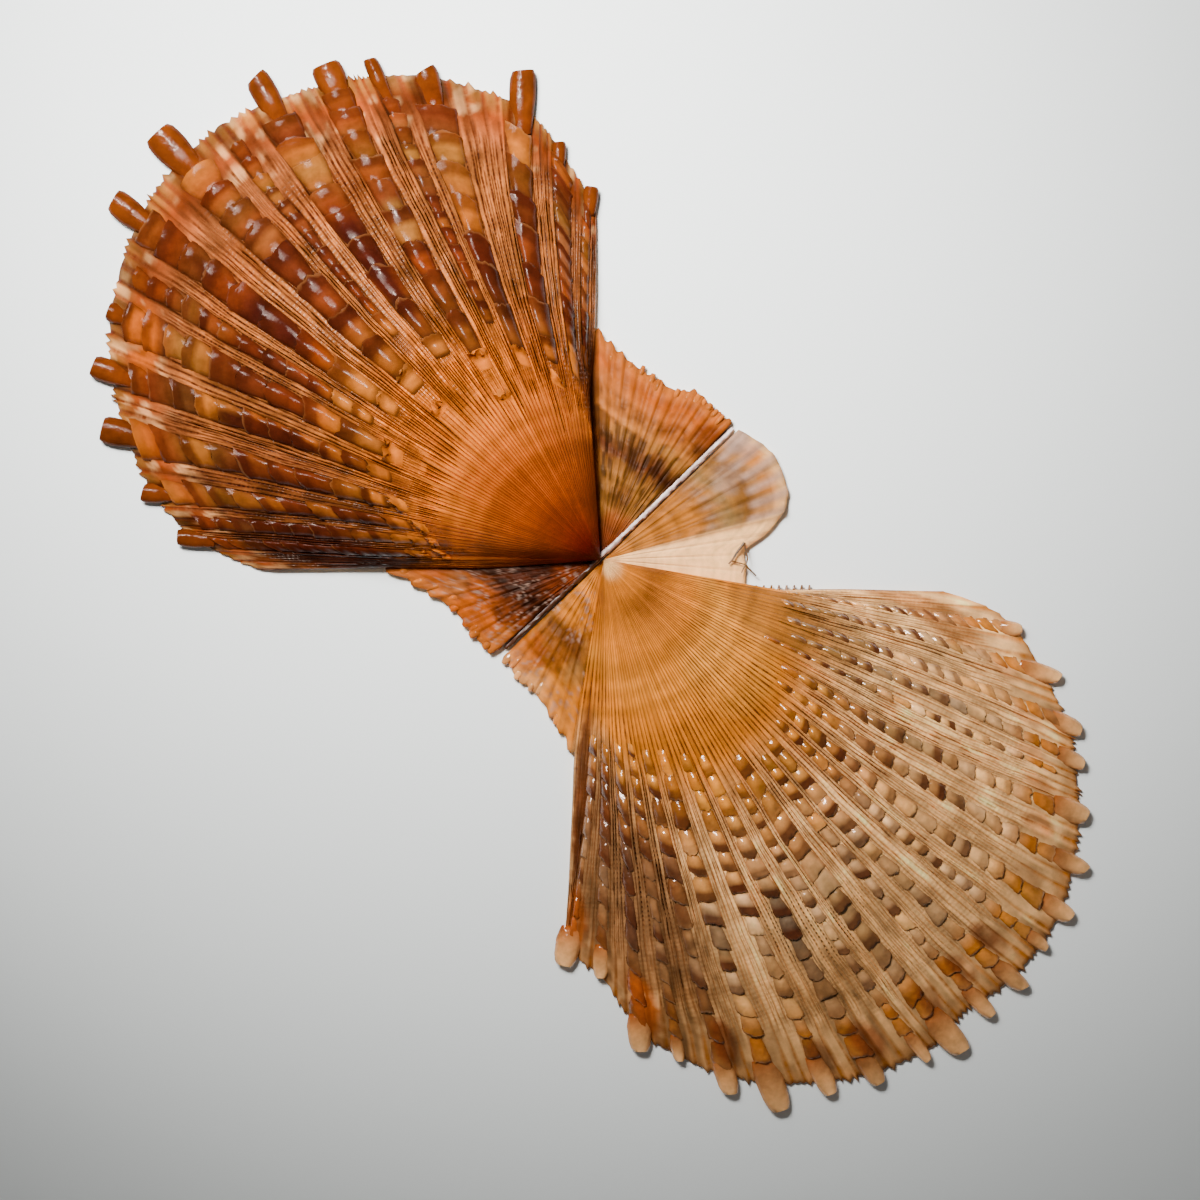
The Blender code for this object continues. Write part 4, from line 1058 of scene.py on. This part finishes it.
class ScaleLayer:
    """The scales, spines, lumps and teeth of one valve, all copies of one blank in one mesh."""

    def __init__(self, side):
        self.side = side
        self.valve = Valve(LEFT if side == "left" else RIGHT)
        self.look = LOOKS[side]
        self.chance = np.random.default_rng(self.look["seed"])
        self.colours = palette()
        self.u, self.v, self.is_top, self.faces = scale_blank()
        self.made = []

    def add(self, x, y, top, under, tint, lip):
        """Keeps one copy of the blank: places, colour, and how far along it each point is."""
        self.made.append((np.column_stack([x, y, np.where(self.is_top, top, under)]), tint, lip))

    def scale(self, rib, reach, begin, finish):
        """One scale on a rib, between two distances from the beak."""
        look, colours, chance, u, v = self.look, self.colours, self.chance, self.u, self.v
        relief = settings()
        end = finish / reach
        late = smooth_step(end, 0.5, 0.85)
        early = look["early"] * (1.0 - smooth_step(end, 0.38, 0.52))
        lip = smooth_step(v, 0.66, 1.0)

        # outline, slimmer outside and in front on the right valve, with a bowed and ragged lip
        half = rib.half * (0.86 + 0.28 * chance.random()) * curve(SCALE_OUTLINE, v) * (1.0 + 0.2 * early)
        narrow = max(smooth_step(end, 0.55, 0.8), 1.0 - smooth_step(rib.mid, 26.0, 50.0))
        half = half * (look["breadth"] - look["slimming"] * narrow)
        skew = 0.12 * (chance.random() - 0.5)
        q = rib.mid + half * u + 0.5 * rib.half * skew * v
        bow = 0.22 * (chance.random() - 0.35) * lip * u * u
        edge = np.random.default_rng(int(begin * 100)).random(len(u)) - 0.5
        ragged = (0.09 + 0.3 * early) * lip * edge
        growth = (begin + (v - bow * v + skew * u * v + ragged) * (finish - begin)) / reach
        x, y = self.valve.place(q, growth)

        # height: a rounded body, a flared lip, and near the beak only a ruffled lip
        base = self.valve.smooth_height(q, growth)
        arch = blend(hump(u, look["roundness"]), 0.45 + 0.55 * np.cos(0.5 * np.pi * u), lip)
        lift = rib.height * getattr(relief, self.side + "_scale")
        lift = lift * (0.8 + 0.4 * chance.random()) * (1.0 - 0.3 * late)
        lift = lift * (0.55 + 0.45 * smooth_step(end, 0.3, 0.55))
        ruffle = 0.4 * early * lip * np.sin(8.0 * u + 6.0 * chance.random())
        flare = getattr(relief, self.side + "_flare") * blend(look["first_flare"], 1.0, late)
        flare = flare * (1.0 + 2.2 * early) * (0.5 + chance.random())
        body = blend(curve(look["barrel"], v), 1.3 * v ** 3.5, early)
        body = body - look["dimple"] * chance.random() * lip
        body = body + look["late_rise"] * late * smooth_step(v, 0.7, 1.0)
        top = base + lift * (body + flare * lip + ruffle) * arch - SCALE_SUNK
        under = blend(base - SCALE_ROOT, top - relief.lip / MM, smooth_step(v, 0.6, 0.85))

        # colour: some scales darker or paler, a painted highlight in the middle, and painted shade on the
        # front end and the sides; at the front end the shade is partly the lip's own darker pigment
        tint = along_growth(look["scale"], growth, colours) * (0.82 + 0.36 * chance.random())
        pick = 0.6 * float(patchy(rib.mid / 5.0, finish / 6.0, 1.0, 71)) + 0.4 * chance.random()
        darker = look["depth"] * (1.0 - smooth_step(pick, *look["deep"])) * (1.0 - early)
        tint = blend(tint, colours[look["dark"]], darker)
        tint = blend(tint, colours[look["light"]], look["depth"] * smooth_step(pick, 0.6, 0.8))
        tint = stain_over(tint, look["stains"], q, growth, "s", colours)
        # near the beak a scale takes the riblets' colour, brightened towards its raised lip by a painted
        # highlight
        bare = along_growth(look["riblet"], growth, colours) * (1.0 + 0.2 * lip)[:, None]
        tint = blend(tint, bare, early)
        warm = look["warmth"] * (chance.random() - 0.5)
        tint = tint * np.array([1.0 + 0.2 * warm, 1.0 - 0.2 * warm, 1.0 - 1.2 * warm])
        unshaded_front = chance.random() < UNSHADED_FRONT_SHARE
        front = 0.12 if unshaded_front else 0.6 + 0.4 * chance.random()
        front = front * (1.0 - early) * smooth_step(v, *look["front"])
        front = front * (1.0 - look["faded"] * smooth_step(end, 0.8, 0.92))
        # painted shade on the sides of each scale
        front = np.maximum(front, 0.45 * np.abs(u) ** 3)
        # painted highlight: a brighter middle along each scale, fading towards its sides
        glow = 1.0 + look["glow"] * np.exp(-((v - 0.52) / 0.16) ** 2) * (1.0 - 0.8 * np.abs(u))
        tint = blend(tint * glow[:, None], colours[look["dark"]], front[:, None])
        self.add(x, y, top, under, tint, v * (0.92 + 0.08 * chance.random()))

    def spine(self, rib, reach, begin):
        """The blunt spine that ends a rib, like a tongue beyond the margin."""
        look, u, v = self.look, self.u, self.v
        skew = 0.1 * (self.chance.random() - 0.5)
        growth = (begin + (v + skew * u * v * v) * (reach + rib.spine - begin)) / reach
        q = np.full(len(u), rib.mid)
        inner = np.minimum(growth, 1.0)
        x, y = self.valve.place(q, growth)
        dx, dy = direction(self.valve.bearing(q, growth))
        aside = 0.5 * rib.width * curve(look["spine_width"], v) * u
        base = self.valve.smooth_height(q, inner)
        beyond = smooth_step(growth, 0.95, 1.02)
        arch = hump(u, 0.6)
        top = blend(base + 0.6 * rib.height * curve(SPINE_CREST, v) * arch, SPINE_TOP + 0.66 * arch, beyond)
        under = blend(base - 0.5, SPINE_UNDER + 0.12 * arch, beyond)
        tint = 0.25 * stained(look, "scale", q, inner, self.colours)
        tint = tint + 0.75 * along_growth(look["spine"], v, self.colours)
        tint = tint * look["spine_depth"] * (0.85 + 0.3 * self.chance.random())
        self.add(x + aside * dy, y - aside * dx, top, under, tint, 0.3 + 0.6 * v)

    def lump(self, at, bearing, size, level, tint):
        """A small rounded lump that points along a bearing. size is its length, width and height."""
        u, v = self.u, self.v
        long, wide, high = size
        dx, dy = direction(bearing)
        out = (v - 0.6) * long
        aside = 0.5 * wide * u * curve(((0.0, 0.7), (0.5, 1.0), (1.0, 0.55)), v)
        arch = (hump(u, 1.0) * np.sin(np.pi * (0.12 + 0.8 * v))) ** 0.6
        x, y = at[0] + dx * out + dy * aside, at[1] + dy * out - dx * aside
        self.add(x, y, level + high * arch, level - 0.5, tint * (0.75 + 0.4 * v)[:, None], 0.3 + 0.6 * v)

    def rough_ear(self, name):
        """The rough margin of an ear: a row of small lumps, two to four degrees apart."""
        valve, look, colours, chance = self.valve, self.look, self.colours, self.chance
        outline = valve.form[name]
        q, flank = (valve.high, outline[0][1]) if name == "last_ear" else (valve.low, outline[-1][1])
        level = float(valve.edge_height(flank / valve.reach(q))) - 0.3
        bearing = outline[0][0] + 1.5
        while bearing < outline[-1][0] - 1.0:
            reach = float(curve(outline, bearing)) - 0.1 - 1.4 * chance.random() ** 2
            at = np.array(valve.at(bearing, reach))
            tint = colours[look[name][-1][1]][None, :]
            tint = patch_over(tint, look["patches"], at[:1], at[1:], colours)[0]
            size = (1.2 + 1.0 * chance.random(), 0.7 + 0.5 * chance.random(), 0.35 + 0.35 * chance.random())
            turned = bearing + 16.0 * (chance.random() - 0.5)
            self.lump(at, turned, size, level, tint * (0.75 + 0.5 * chance.random()))
            bearing += 2.0 + 2.2 * chance.random()

    def comb(self):
        """The short row of teeth on the disc's edge in the byssal notch."""
        valve = self.valve
        for k in range(COMB_TEETH):
            out = COMB_START + COMB_PITCH * k
            bearing = float(curve(valve.form["first_flank"], out))
            level = float(valve.edge_height(out / valve.reach(valve.low))) - 0.1
            self.lump(valve.at(bearing, out), bearing - 90.0, COMB_TOOTH, level, 0.6 * self.colours["bronze"])

    def build(self):
        for rib in self.valve.ribs:
            reach = float(self.valve.reach(rib.mid))
            spans, at = scale_spans(rib, reach, self.chance)
            for start, end in spans:
                if self.look["early"] and end < 0.5 * reach:
                    start = max(start, end - EARLY_LIP)
                length = end - start
                self.scale(rib, reach, start - SCALE_TUCK * length, end + SCALE_OVERHANG * length)
            if rib.width > 0.0:
                self.spine(rib, reach, min(at, reach - SPINE_ROOT))
        for name in self.look["rough_ears"]:
            self.rough_ear(name)
        if self.look["banded"]:
            self.comb()
        places, tints, lips = (np.concatenate(parts) for parts in zip(*self.made))
        count = len(self.u)
        faces = [[corner + k * count for corner in face]
                 for k in range(len(self.made)) for face in self.faces]
        mesh = bpy.data.meshes.new(self.side + "_valve_scales")
        mesh.from_pydata((places * MM).tolist(), [], faces)
        piece = bpy.data.objects.new(mesh.name, mesh)
        bpy.context.scene.collection.objects.link(piece)
        set_values(piece, "pigment", np.clip(tints, 0.0, 1.0))
        set_values(piece, "lip", lips)
        shade(piece, 70.0)
        return piece


# Materials


class Shader:
    """A short hand for wiring one material."""

    def __init__(self, name):
        self.material = bpy.data.materials.new(name)
        self.material.use_nodes = True
        self.tree = self.material.node_tree
        self.surface = self.tree.nodes["Principled BSDF"]

    def put(self, socket, value):
        """Links a socket's value or sets it."""
        if isinstance(value, bpy.types.NodeSocket):
            self.tree.links.new(value, socket)
        else:
            socket.default_value = value

    def set(self, **values):
        for name, value in values.items():
            self.put(self.surface.inputs[name.replace("_", " ")], value)

    def node(self, kind, inputs=None, **values):
        made = self.tree.nodes.new(kind)
        for name, value in values.items():
            setattr(made, name, value)
        for name, value in (inputs or {}).items():
            self.put(made.inputs[name], value)
        return made

    def attribute(self, name, out="Fac"):
        return self.node("ShaderNodeAttribute", attribute_name=name).outputs[out]

    def maths(self, operation, a, b=0.0):
        return self.node("ShaderNodeMath", {0: a, 1: b}, operation=operation).outputs[0]

    def plus(self, a, b):
        return self.maths("ADD", a, b)

    def minus(self, a, b):
        return self.maths("SUBTRACT", a, b)

    def times(self, a, *others):
        for b in others:
            a = self.maths("MULTIPLY", a, b)
        return a

    def noise(self, scale, detail=3.0, rough=0.55, vector=None):
        place = vector or self.node("ShaderNodeTexCoord").outputs["Object"]
        return self.node("ShaderNodeTexNoise", {"Vector": place, "Scale": scale, "Detail": detail,
                                                "Roughness": rough}).outputs["Fac"]

    def between(self, value, low, high, out_low=0.0, out_high=1.0):
        return self.node("ShaderNodeMapRange", {"Value": value, "From Min": low, "From Max": high,
                                                "To Min": out_low, "To Max": out_high}).outputs["Result"]

    def off_middle(self, value):
        """0 in the middle between two whole numbers and 1 at them."""
        return self.times(self.maths("ABSOLUTE", self.minus(self.maths("FRACT", value), 0.5)), 2.0)

    def flat(self, x, y):
        return self.node("ShaderNodeCombineXYZ", {"X": x, "Y": y}).outputs[0]

    def mix(self, factor, a, b, kind="MIX"):
        made = self.node("ShaderNodeMix", data_type="RGBA", blend_type=kind)
        for socket, value in ((made.inputs[0], factor), (made.inputs[6], a), (made.inputs[7], b)):
            self.put(socket, value)
        return made.outputs[2]

    def toned(self, colour, tone):
        """A colour made lighter or darker by a value."""
        level = self.node("ShaderNodeCombineColor", {0: tone, 1: tone, 2: tone}).outputs[0]
        return self.mix(1.0, colour, level, "MULTIPLY")

    def bump(self, height, strength, distance):
        made = self.node("ShaderNodeBump", {"Height": height, "Strength": strength, "Distance": distance})
        self.put(self.surface.inputs["Normal"], made.outputs["Normal"])

    def translucent(self, weight, radii):
        """Lets light through, by a radius in metres for each colour."""
        self.set(Subsurface_Weight=weight, Subsurface_Radius=radii, Subsurface_Scale=1.0)


def shell_material(name, look):
    """Ribbed calcite: crests and furrows from the mesh, slits, pits darkened with painted shade, fine growth
    lines.
    """
    s = Shader(name)
    ridge, span, pitted, outer = (s.attribute(kind) for kind in ("ridge", "span", "pitted", "outer"))
    dark = s.attribute("furrow", "Color")
    near_beak = s.minus(1.0, outer)
    pairs = s.times(s.off_middle(s.times(ridge, 0.5)), near_beak)
    valley = s.plus(s.times(s.off_middle(ridge), outer), pairs)
    wobble = s.noise(260.0, 2.0)
    furrow = s.between(s.plus(valley, s.between(wobble, 0.3, 0.7, -0.12, 0.12)), *look["furrow_range"])
    broken = s.noise(0.8, 3.0, 0.6, s.flat(s.times(s.maths("ROUND", ridge), 3.7), span))
    furrow = s.times(furrow, s.between(broken, 0.35, 0.6, 0.5, 1.0))
    colour = s.mix(furrow, s.attribute("pigment", "Color"), dark)

    # some riblets carry a slit along their middle
    which = s.node("ShaderNodeTexWhiteNoise", {"W": s.maths("FLOOR", ridge)}, noise_dimensions="1D")
    slit = s.times(s.between(valley, 0.32, 0.1), s.between(which.outputs["Value"], 0.3, 0.35), outer,
                   s.between(s.noise(420.0, 2.0), 0.42, 0.56))
    colour = s.mix(s.times(slit, 0.7), colour, dark)

    # ladder rows of pits between the riblets, darkened with painted shade
    lines = s.maths("SINE", s.plus(s.times(span, 10.5), s.times(wobble, 7.0)))
    pits = s.times(s.between(valley, 0.6, 0.9), s.between(lines, -0.1, 0.5), pitted,
                   s.between(s.noise(160.0, 1.0), 0.3, 0.5))
    colour = s.mix(s.times(pits, 0.8), colour, HOLLOW_SHADE)

    # specks, and streaks that run along the riblets outside the umbo
    speckle = s.between(s.noise(900.0, 3.0, 0.6), 0.3, 0.75, 0.84, 1.14)
    streak = s.noise(1.0, 4.0, 0.65, s.flat(s.times(ridge, 1.7), s.times(span, 0.5)))
    streak = s.minus(s.between(streak, 0.3, 0.7, *look["streak"]), 1.0)
    colour = s.toned(colour, s.times(speckle, s.plus(s.times(streak, outer), 1.0)))
    rough = s.plus(s.between(s.noise(500.0), 0.3, 0.7, 0.14, 0.24), s.times(near_beak, 0.24))
    s.set(Base_Color=colour, Roughness=rough, Specular_IOR_Level=0.05, Specular_Tint=(1.0, 0.82, 0.66, 1.0))
    s.translucent(0.05, (0.0012, 0.0005, 0.0002))
    height = s.plus(s.times(lines, 0.25, outer), s.times(s.noise(1500.0, 2.0), 0.8))
    height = s.minus(height, s.times(s.plus(pits, slit), 2.0))
    height = s.minus(height, s.times(s.between(valley, 0.6, 1.0), 1.5))
    s.bump(height, 0.7, 0.08 * MM)
    return s.material


def scale_material(name, look):
    """Horny, glossy scale: pigment from the mesh, a paler free lip that is partly its thin colour and partly
    painted light through it, and painted shadow at its start.
    """
    s = Shader(name)
    lip = s.attribute("lip")
    clouds = s.between(s.noise(420.0, 3.0, 0.6), 0.3, 0.7, 0.66, 1.3)
    colour = s.toned(s.attribute("pigment", "Color"), clouds)
    # a paler free lip: partly the thin lip's own colour, partly painted light shining through it
    edge = s.times(s.between(lip, 0.93, 0.985), look["lip_share"])
    colour = s.mix(edge, colour, (*linear(look["lip_code"]), 1.0))
    # painted shadow on each scale's start, under the lip of the scale before it
    colour = s.mix(s.times(s.between(lip, 0.26, 0.12), 0.7), colour, HOLLOW_SHADE)
    s.set(Base_Color=colour, Roughness=s.between(s.noise(700.0), 0.3, 0.7, 0.1, 0.18),
          Specular_IOR_Level=look["gloss"], Specular_Tint=(1.0, 0.8, 0.72, 1.0))
    s.translucent(0.05, (0.001, 0.0004, 0.0002))
    s.bump(s.plus(s.noise(300.0, 1.0), s.noise(1200.0, 1.0)), 0.6, look["ripple"] * MM)
    return s.material


def ligament_material():
    """Dried ligament: lilac white between the front ears, dark brown between the back ears."""
    s = Shader("dried ligament")
    pale = s.mix(s.between(s.noise(900.0, 4.0), 0.35, 0.65), (0.36, 0.22, 0.19, 1.0), (0.62, 0.5, 0.47, 1.0))
    s.set(Base_Color=s.mix(s.attribute("front"), (0.05, 0.016, 0.006, 1.0), pale), Roughness=0.45)
    s.bump(s.noise(2400.0, 3.0), 0.5, 0.04 * MM)
    return s.material


def thread_material():
    """Dried byssus: golden and dark brown by turns."""
    s = Shader("dried byssus")
    share = s.between(s.noise(700.0, 4.0), 0.35, 0.65)
    s.set(Base_Color=s.mix(share, (*linear("1c0e02"), 1.0), (*linear("5e3c0e"), 1.0)), Roughness=0.45)
    s.translucent(0.1, (0.001, 0.0006, 0.0004))
    s.bump(s.noise(2100.0, 3.0), 0.5, 0.04 * MM)
    return s.material


# Operators


def dress_valve(side):
    """Builds a valve's sheet and its scales, in place of the solid valve."""
    look = LOOKS[side]
    node, slot_name = side + "_valve", side + "_valve_shell"
    settle(build_valve(side), node, shell_material(side + " shell", look))
    settle(ScaleLayer(side).build(), node, scale_material(side + " scales", look))


class SHELL_OT_left_valve(bpy.types.Operator):
    """Build the left valve: disc, ears, riblets, fringe and its scales"""
    bl_idname = "shell.left_valve"
    bl_label = "Left valve"

    def execute(self, context):
        dress_valve("left")
        return {"FINISHED"}


class SHELL_OT_right_valve(bpy.types.Operator):
    """Build the right valve: disc, ears, byssal band, riblets, fringe and its scales"""
    bl_idname = "shell.right_valve"
    bl_label = "Right valve"

    def execute(self, context):
        dress_valve("right")
        return {"FINISHED"}


class SHELL_OT_ligament(bpy.types.Operator):
    """Build the dried ligament along the hinge"""
    bl_idname = "shell.ligament"
    bl_label = "Hinge ligament"

    def execute(self, context):
        columns, rows = LIGAMENT_SQUARES
        piece, c, r, above = slab("dried_ligament", columns, rows)
        t = c / columns
        across = 2.0 * r / rows - 1.0
        full = 0.45 + 0.55 * np.sin(np.pi * t) ** 0.5
        along = -LIGAMENT_BACK + (LIGAMENT_FRONT + LIGAMENT_BACK) * t
        notch = 0.2 * patchy(along, 0 * along, 0.5, 9) * (across > 0.6)
        x, y = on_hinge(along, (LIGAMENT_HALF_WIDTH * across - notch) * full)
        level = LIGAMENT_CROWN - LIGAMENT_FALL * (np.abs(along) / LIGAMENT_FRONT) ** 0.6
        crown = level * full * (1.0 - 0.2 * across ** 2) + 0.16 * patchy(along, across, 0.45, 4)
        set_places(piece, x, y, np.where(above == 1, crown, 0.0))
        set_values(piece, "front", smooth_step(along, -2.0, 0.5))
        shade(piece, 50.0)
        settle(piece, "hinge_ligament", ligament_material())
        return {"FINISHED"}


class SHELL_OT_thread(bpy.types.Operator):
    """Build the branching wisp of byssus in the notch of the right valve"""
    bl_idname = "shell.thread"
    bl_label = "Byssal thread"

    def execute(self, context):
        strands = []
        for radius, points in THREAD_STRANDS:
            line = bpy.data.curves.new("strand", "CURVE")
            line.dimensions = "3D"
            line.bevel_depth = radius * MM
            line.bevel_resolution = 3
            line.use_fill_caps = True
            spline = line.splines.new("NURBS")
            spline.points.add(len(points) - 1)
            for k, (px, py, pz) in enumerate(points):
                spline.points[k].co = (px * MM, py * MM, pz * MM, 1.0)
                spline.points[k].radius = 1.0 - 0.45 * k / (len(points) - 1)
            spline.use_endpoint_u = True
            spline.order_u = 3
            spline.resolution_u = 6
            strand = bpy.data.objects.new("strand", line)
            bpy.context.scene.collection.objects.link(strand)
            only(strand)
            bpy.ops.object.convert(target="MESH")
            strands.append(bpy.context.object)
        deselect()
        for strand in strands:
            strand.select_set(True)
        bpy.context.view_layer.objects.active = strands[0]
        bpy.ops.object.join()
        piece = bpy.context.object
        piece.name = piece.data.name = "dried_byssus"
        merge_close(piece, 1e-7)
        shade(piece, 60.0)
        settle(piece, "byssal_thread", thread_material())
        return {"FINISHED"}


class SHELL_OT_stage(bpy.types.Operator):
    """Build the plain floor, the soft light and the camera straight above"""
    bl_idname = "shell.stage"
    bl_label = "Floor, light and camera"

    def execute(self, context):
        stage = context.scene.shell_stage
        deselect()
        bpy.ops.mesh.primitive_plane_add(size=FLOOR_SIZE, location=(0.0, 0.0, -FLOOR_DROP))
        floor = bpy.context.object
        floor.name = "floor"
        s = Shader("plain floor")
        s.set(Base_Color=(*stage.floor[:], 1.0), Roughness=0.8)
        floor.data.materials.append(s.material)
        for name, size, share, place in LAMPS:
            lamp = bpy.data.lights.new(name, "AREA")
            lamp.shape = "DISK"
            lamp.size = size
            lamp.spread = math.radians(LAMP_SPREAD)
            lamp.energy = stage.lamp * share
            lamp.color = (1.0, 0.985, 0.97)
            light = bpy.data.objects.new(name, lamp)
            light.location = place
            aim = Vector(LAMP_AIM) - light.location
            light.rotation_euler = aim.to_track_quat("-Z", "Y").to_euler()
            context.scene.collection.objects.link(light)
        world = bpy.data.worlds.new("room")
        world.use_nodes = True
        sky = world.node_tree.nodes["Background"]
        sky.inputs["Color"].default_value = (1.0, 0.98, 0.96, 1.0)
        sky.inputs["Strength"].default_value = stage.sky
        context.scene.world = world
        lens = bpy.data.cameras.new("camera")
        lens.lens = stage.lens
        lens.sensor_width = 36.0
        camera = bpy.data.objects.new("camera", lens)
        distance = PICTURE_SIDE * PIXEL * stage.lens / lens.sensor_width
        middle = 0.5 * PICTURE_SIDE
        camera.location = ((middle - PICTURE_ORIGIN[0]) * PIXEL, (PICTURE_ORIGIN[1] - middle) * PIXEL,
                           distance + CAMERA_LIFT)
        lens.clip_start = 0.01
        lens.clip_end = 20.0
        context.scene.collection.objects.link(camera)
        context.scene.camera = camera
        return {"FINISHED"}


class SHELL_PT_panel(bpy.types.Panel):
    bl_idname = "SHELL_PT_panel"
    bl_label = "Scallop shell"
    bl_space_type = "VIEW_3D"
    bl_region_type = "UI"
    bl_category = "Shell"

    def draw(self, context):
        for group in (context.scene.shell_relief, context.scene.shell_colours, context.scene.shell_stage):
            for name in type(group).__annotations__:
                self.layout.prop(group, name)
        for operator in OPERATORS:
            self.layout.operator(operator.bl_idname)


GROUPS = (ShellColours, ReliefSettings, StageSettings)
OPERATORS = (SHELL_OT_left_valve, SHELL_OT_right_valve, SHELL_OT_ligament, SHELL_OT_thread, SHELL_OT_stage)


def register():
    for item in (*GROUPS, *OPERATORS, SHELL_PT_panel):
        bpy.utils.register_class(item)
    bpy.types.Scene.shell_colours = PointerProperty(type=ShellColours)
    bpy.types.Scene.shell_relief = PointerProperty(type=ReliefSettings)
    bpy.types.Scene.shell_stage = PointerProperty(type=StageSettings)


def unregister():
    del bpy.types.Scene.shell_stage
    del bpy.types.Scene.shell_relief
    del bpy.types.Scene.shell_colours
    for item in reversed((*GROUPS, *OPERATORS, SHELL_PT_panel)):
        bpy.utils.unregister_class(item)


def main():
    register()
    bpy.ops.shell.left_valve()
    bpy.ops.shell.right_valve()
    bpy.ops.shell.ligament()
    bpy.ops.shell.thread()
    bpy.ops.shell.stage()


if __name__ == "__main__":
    main()
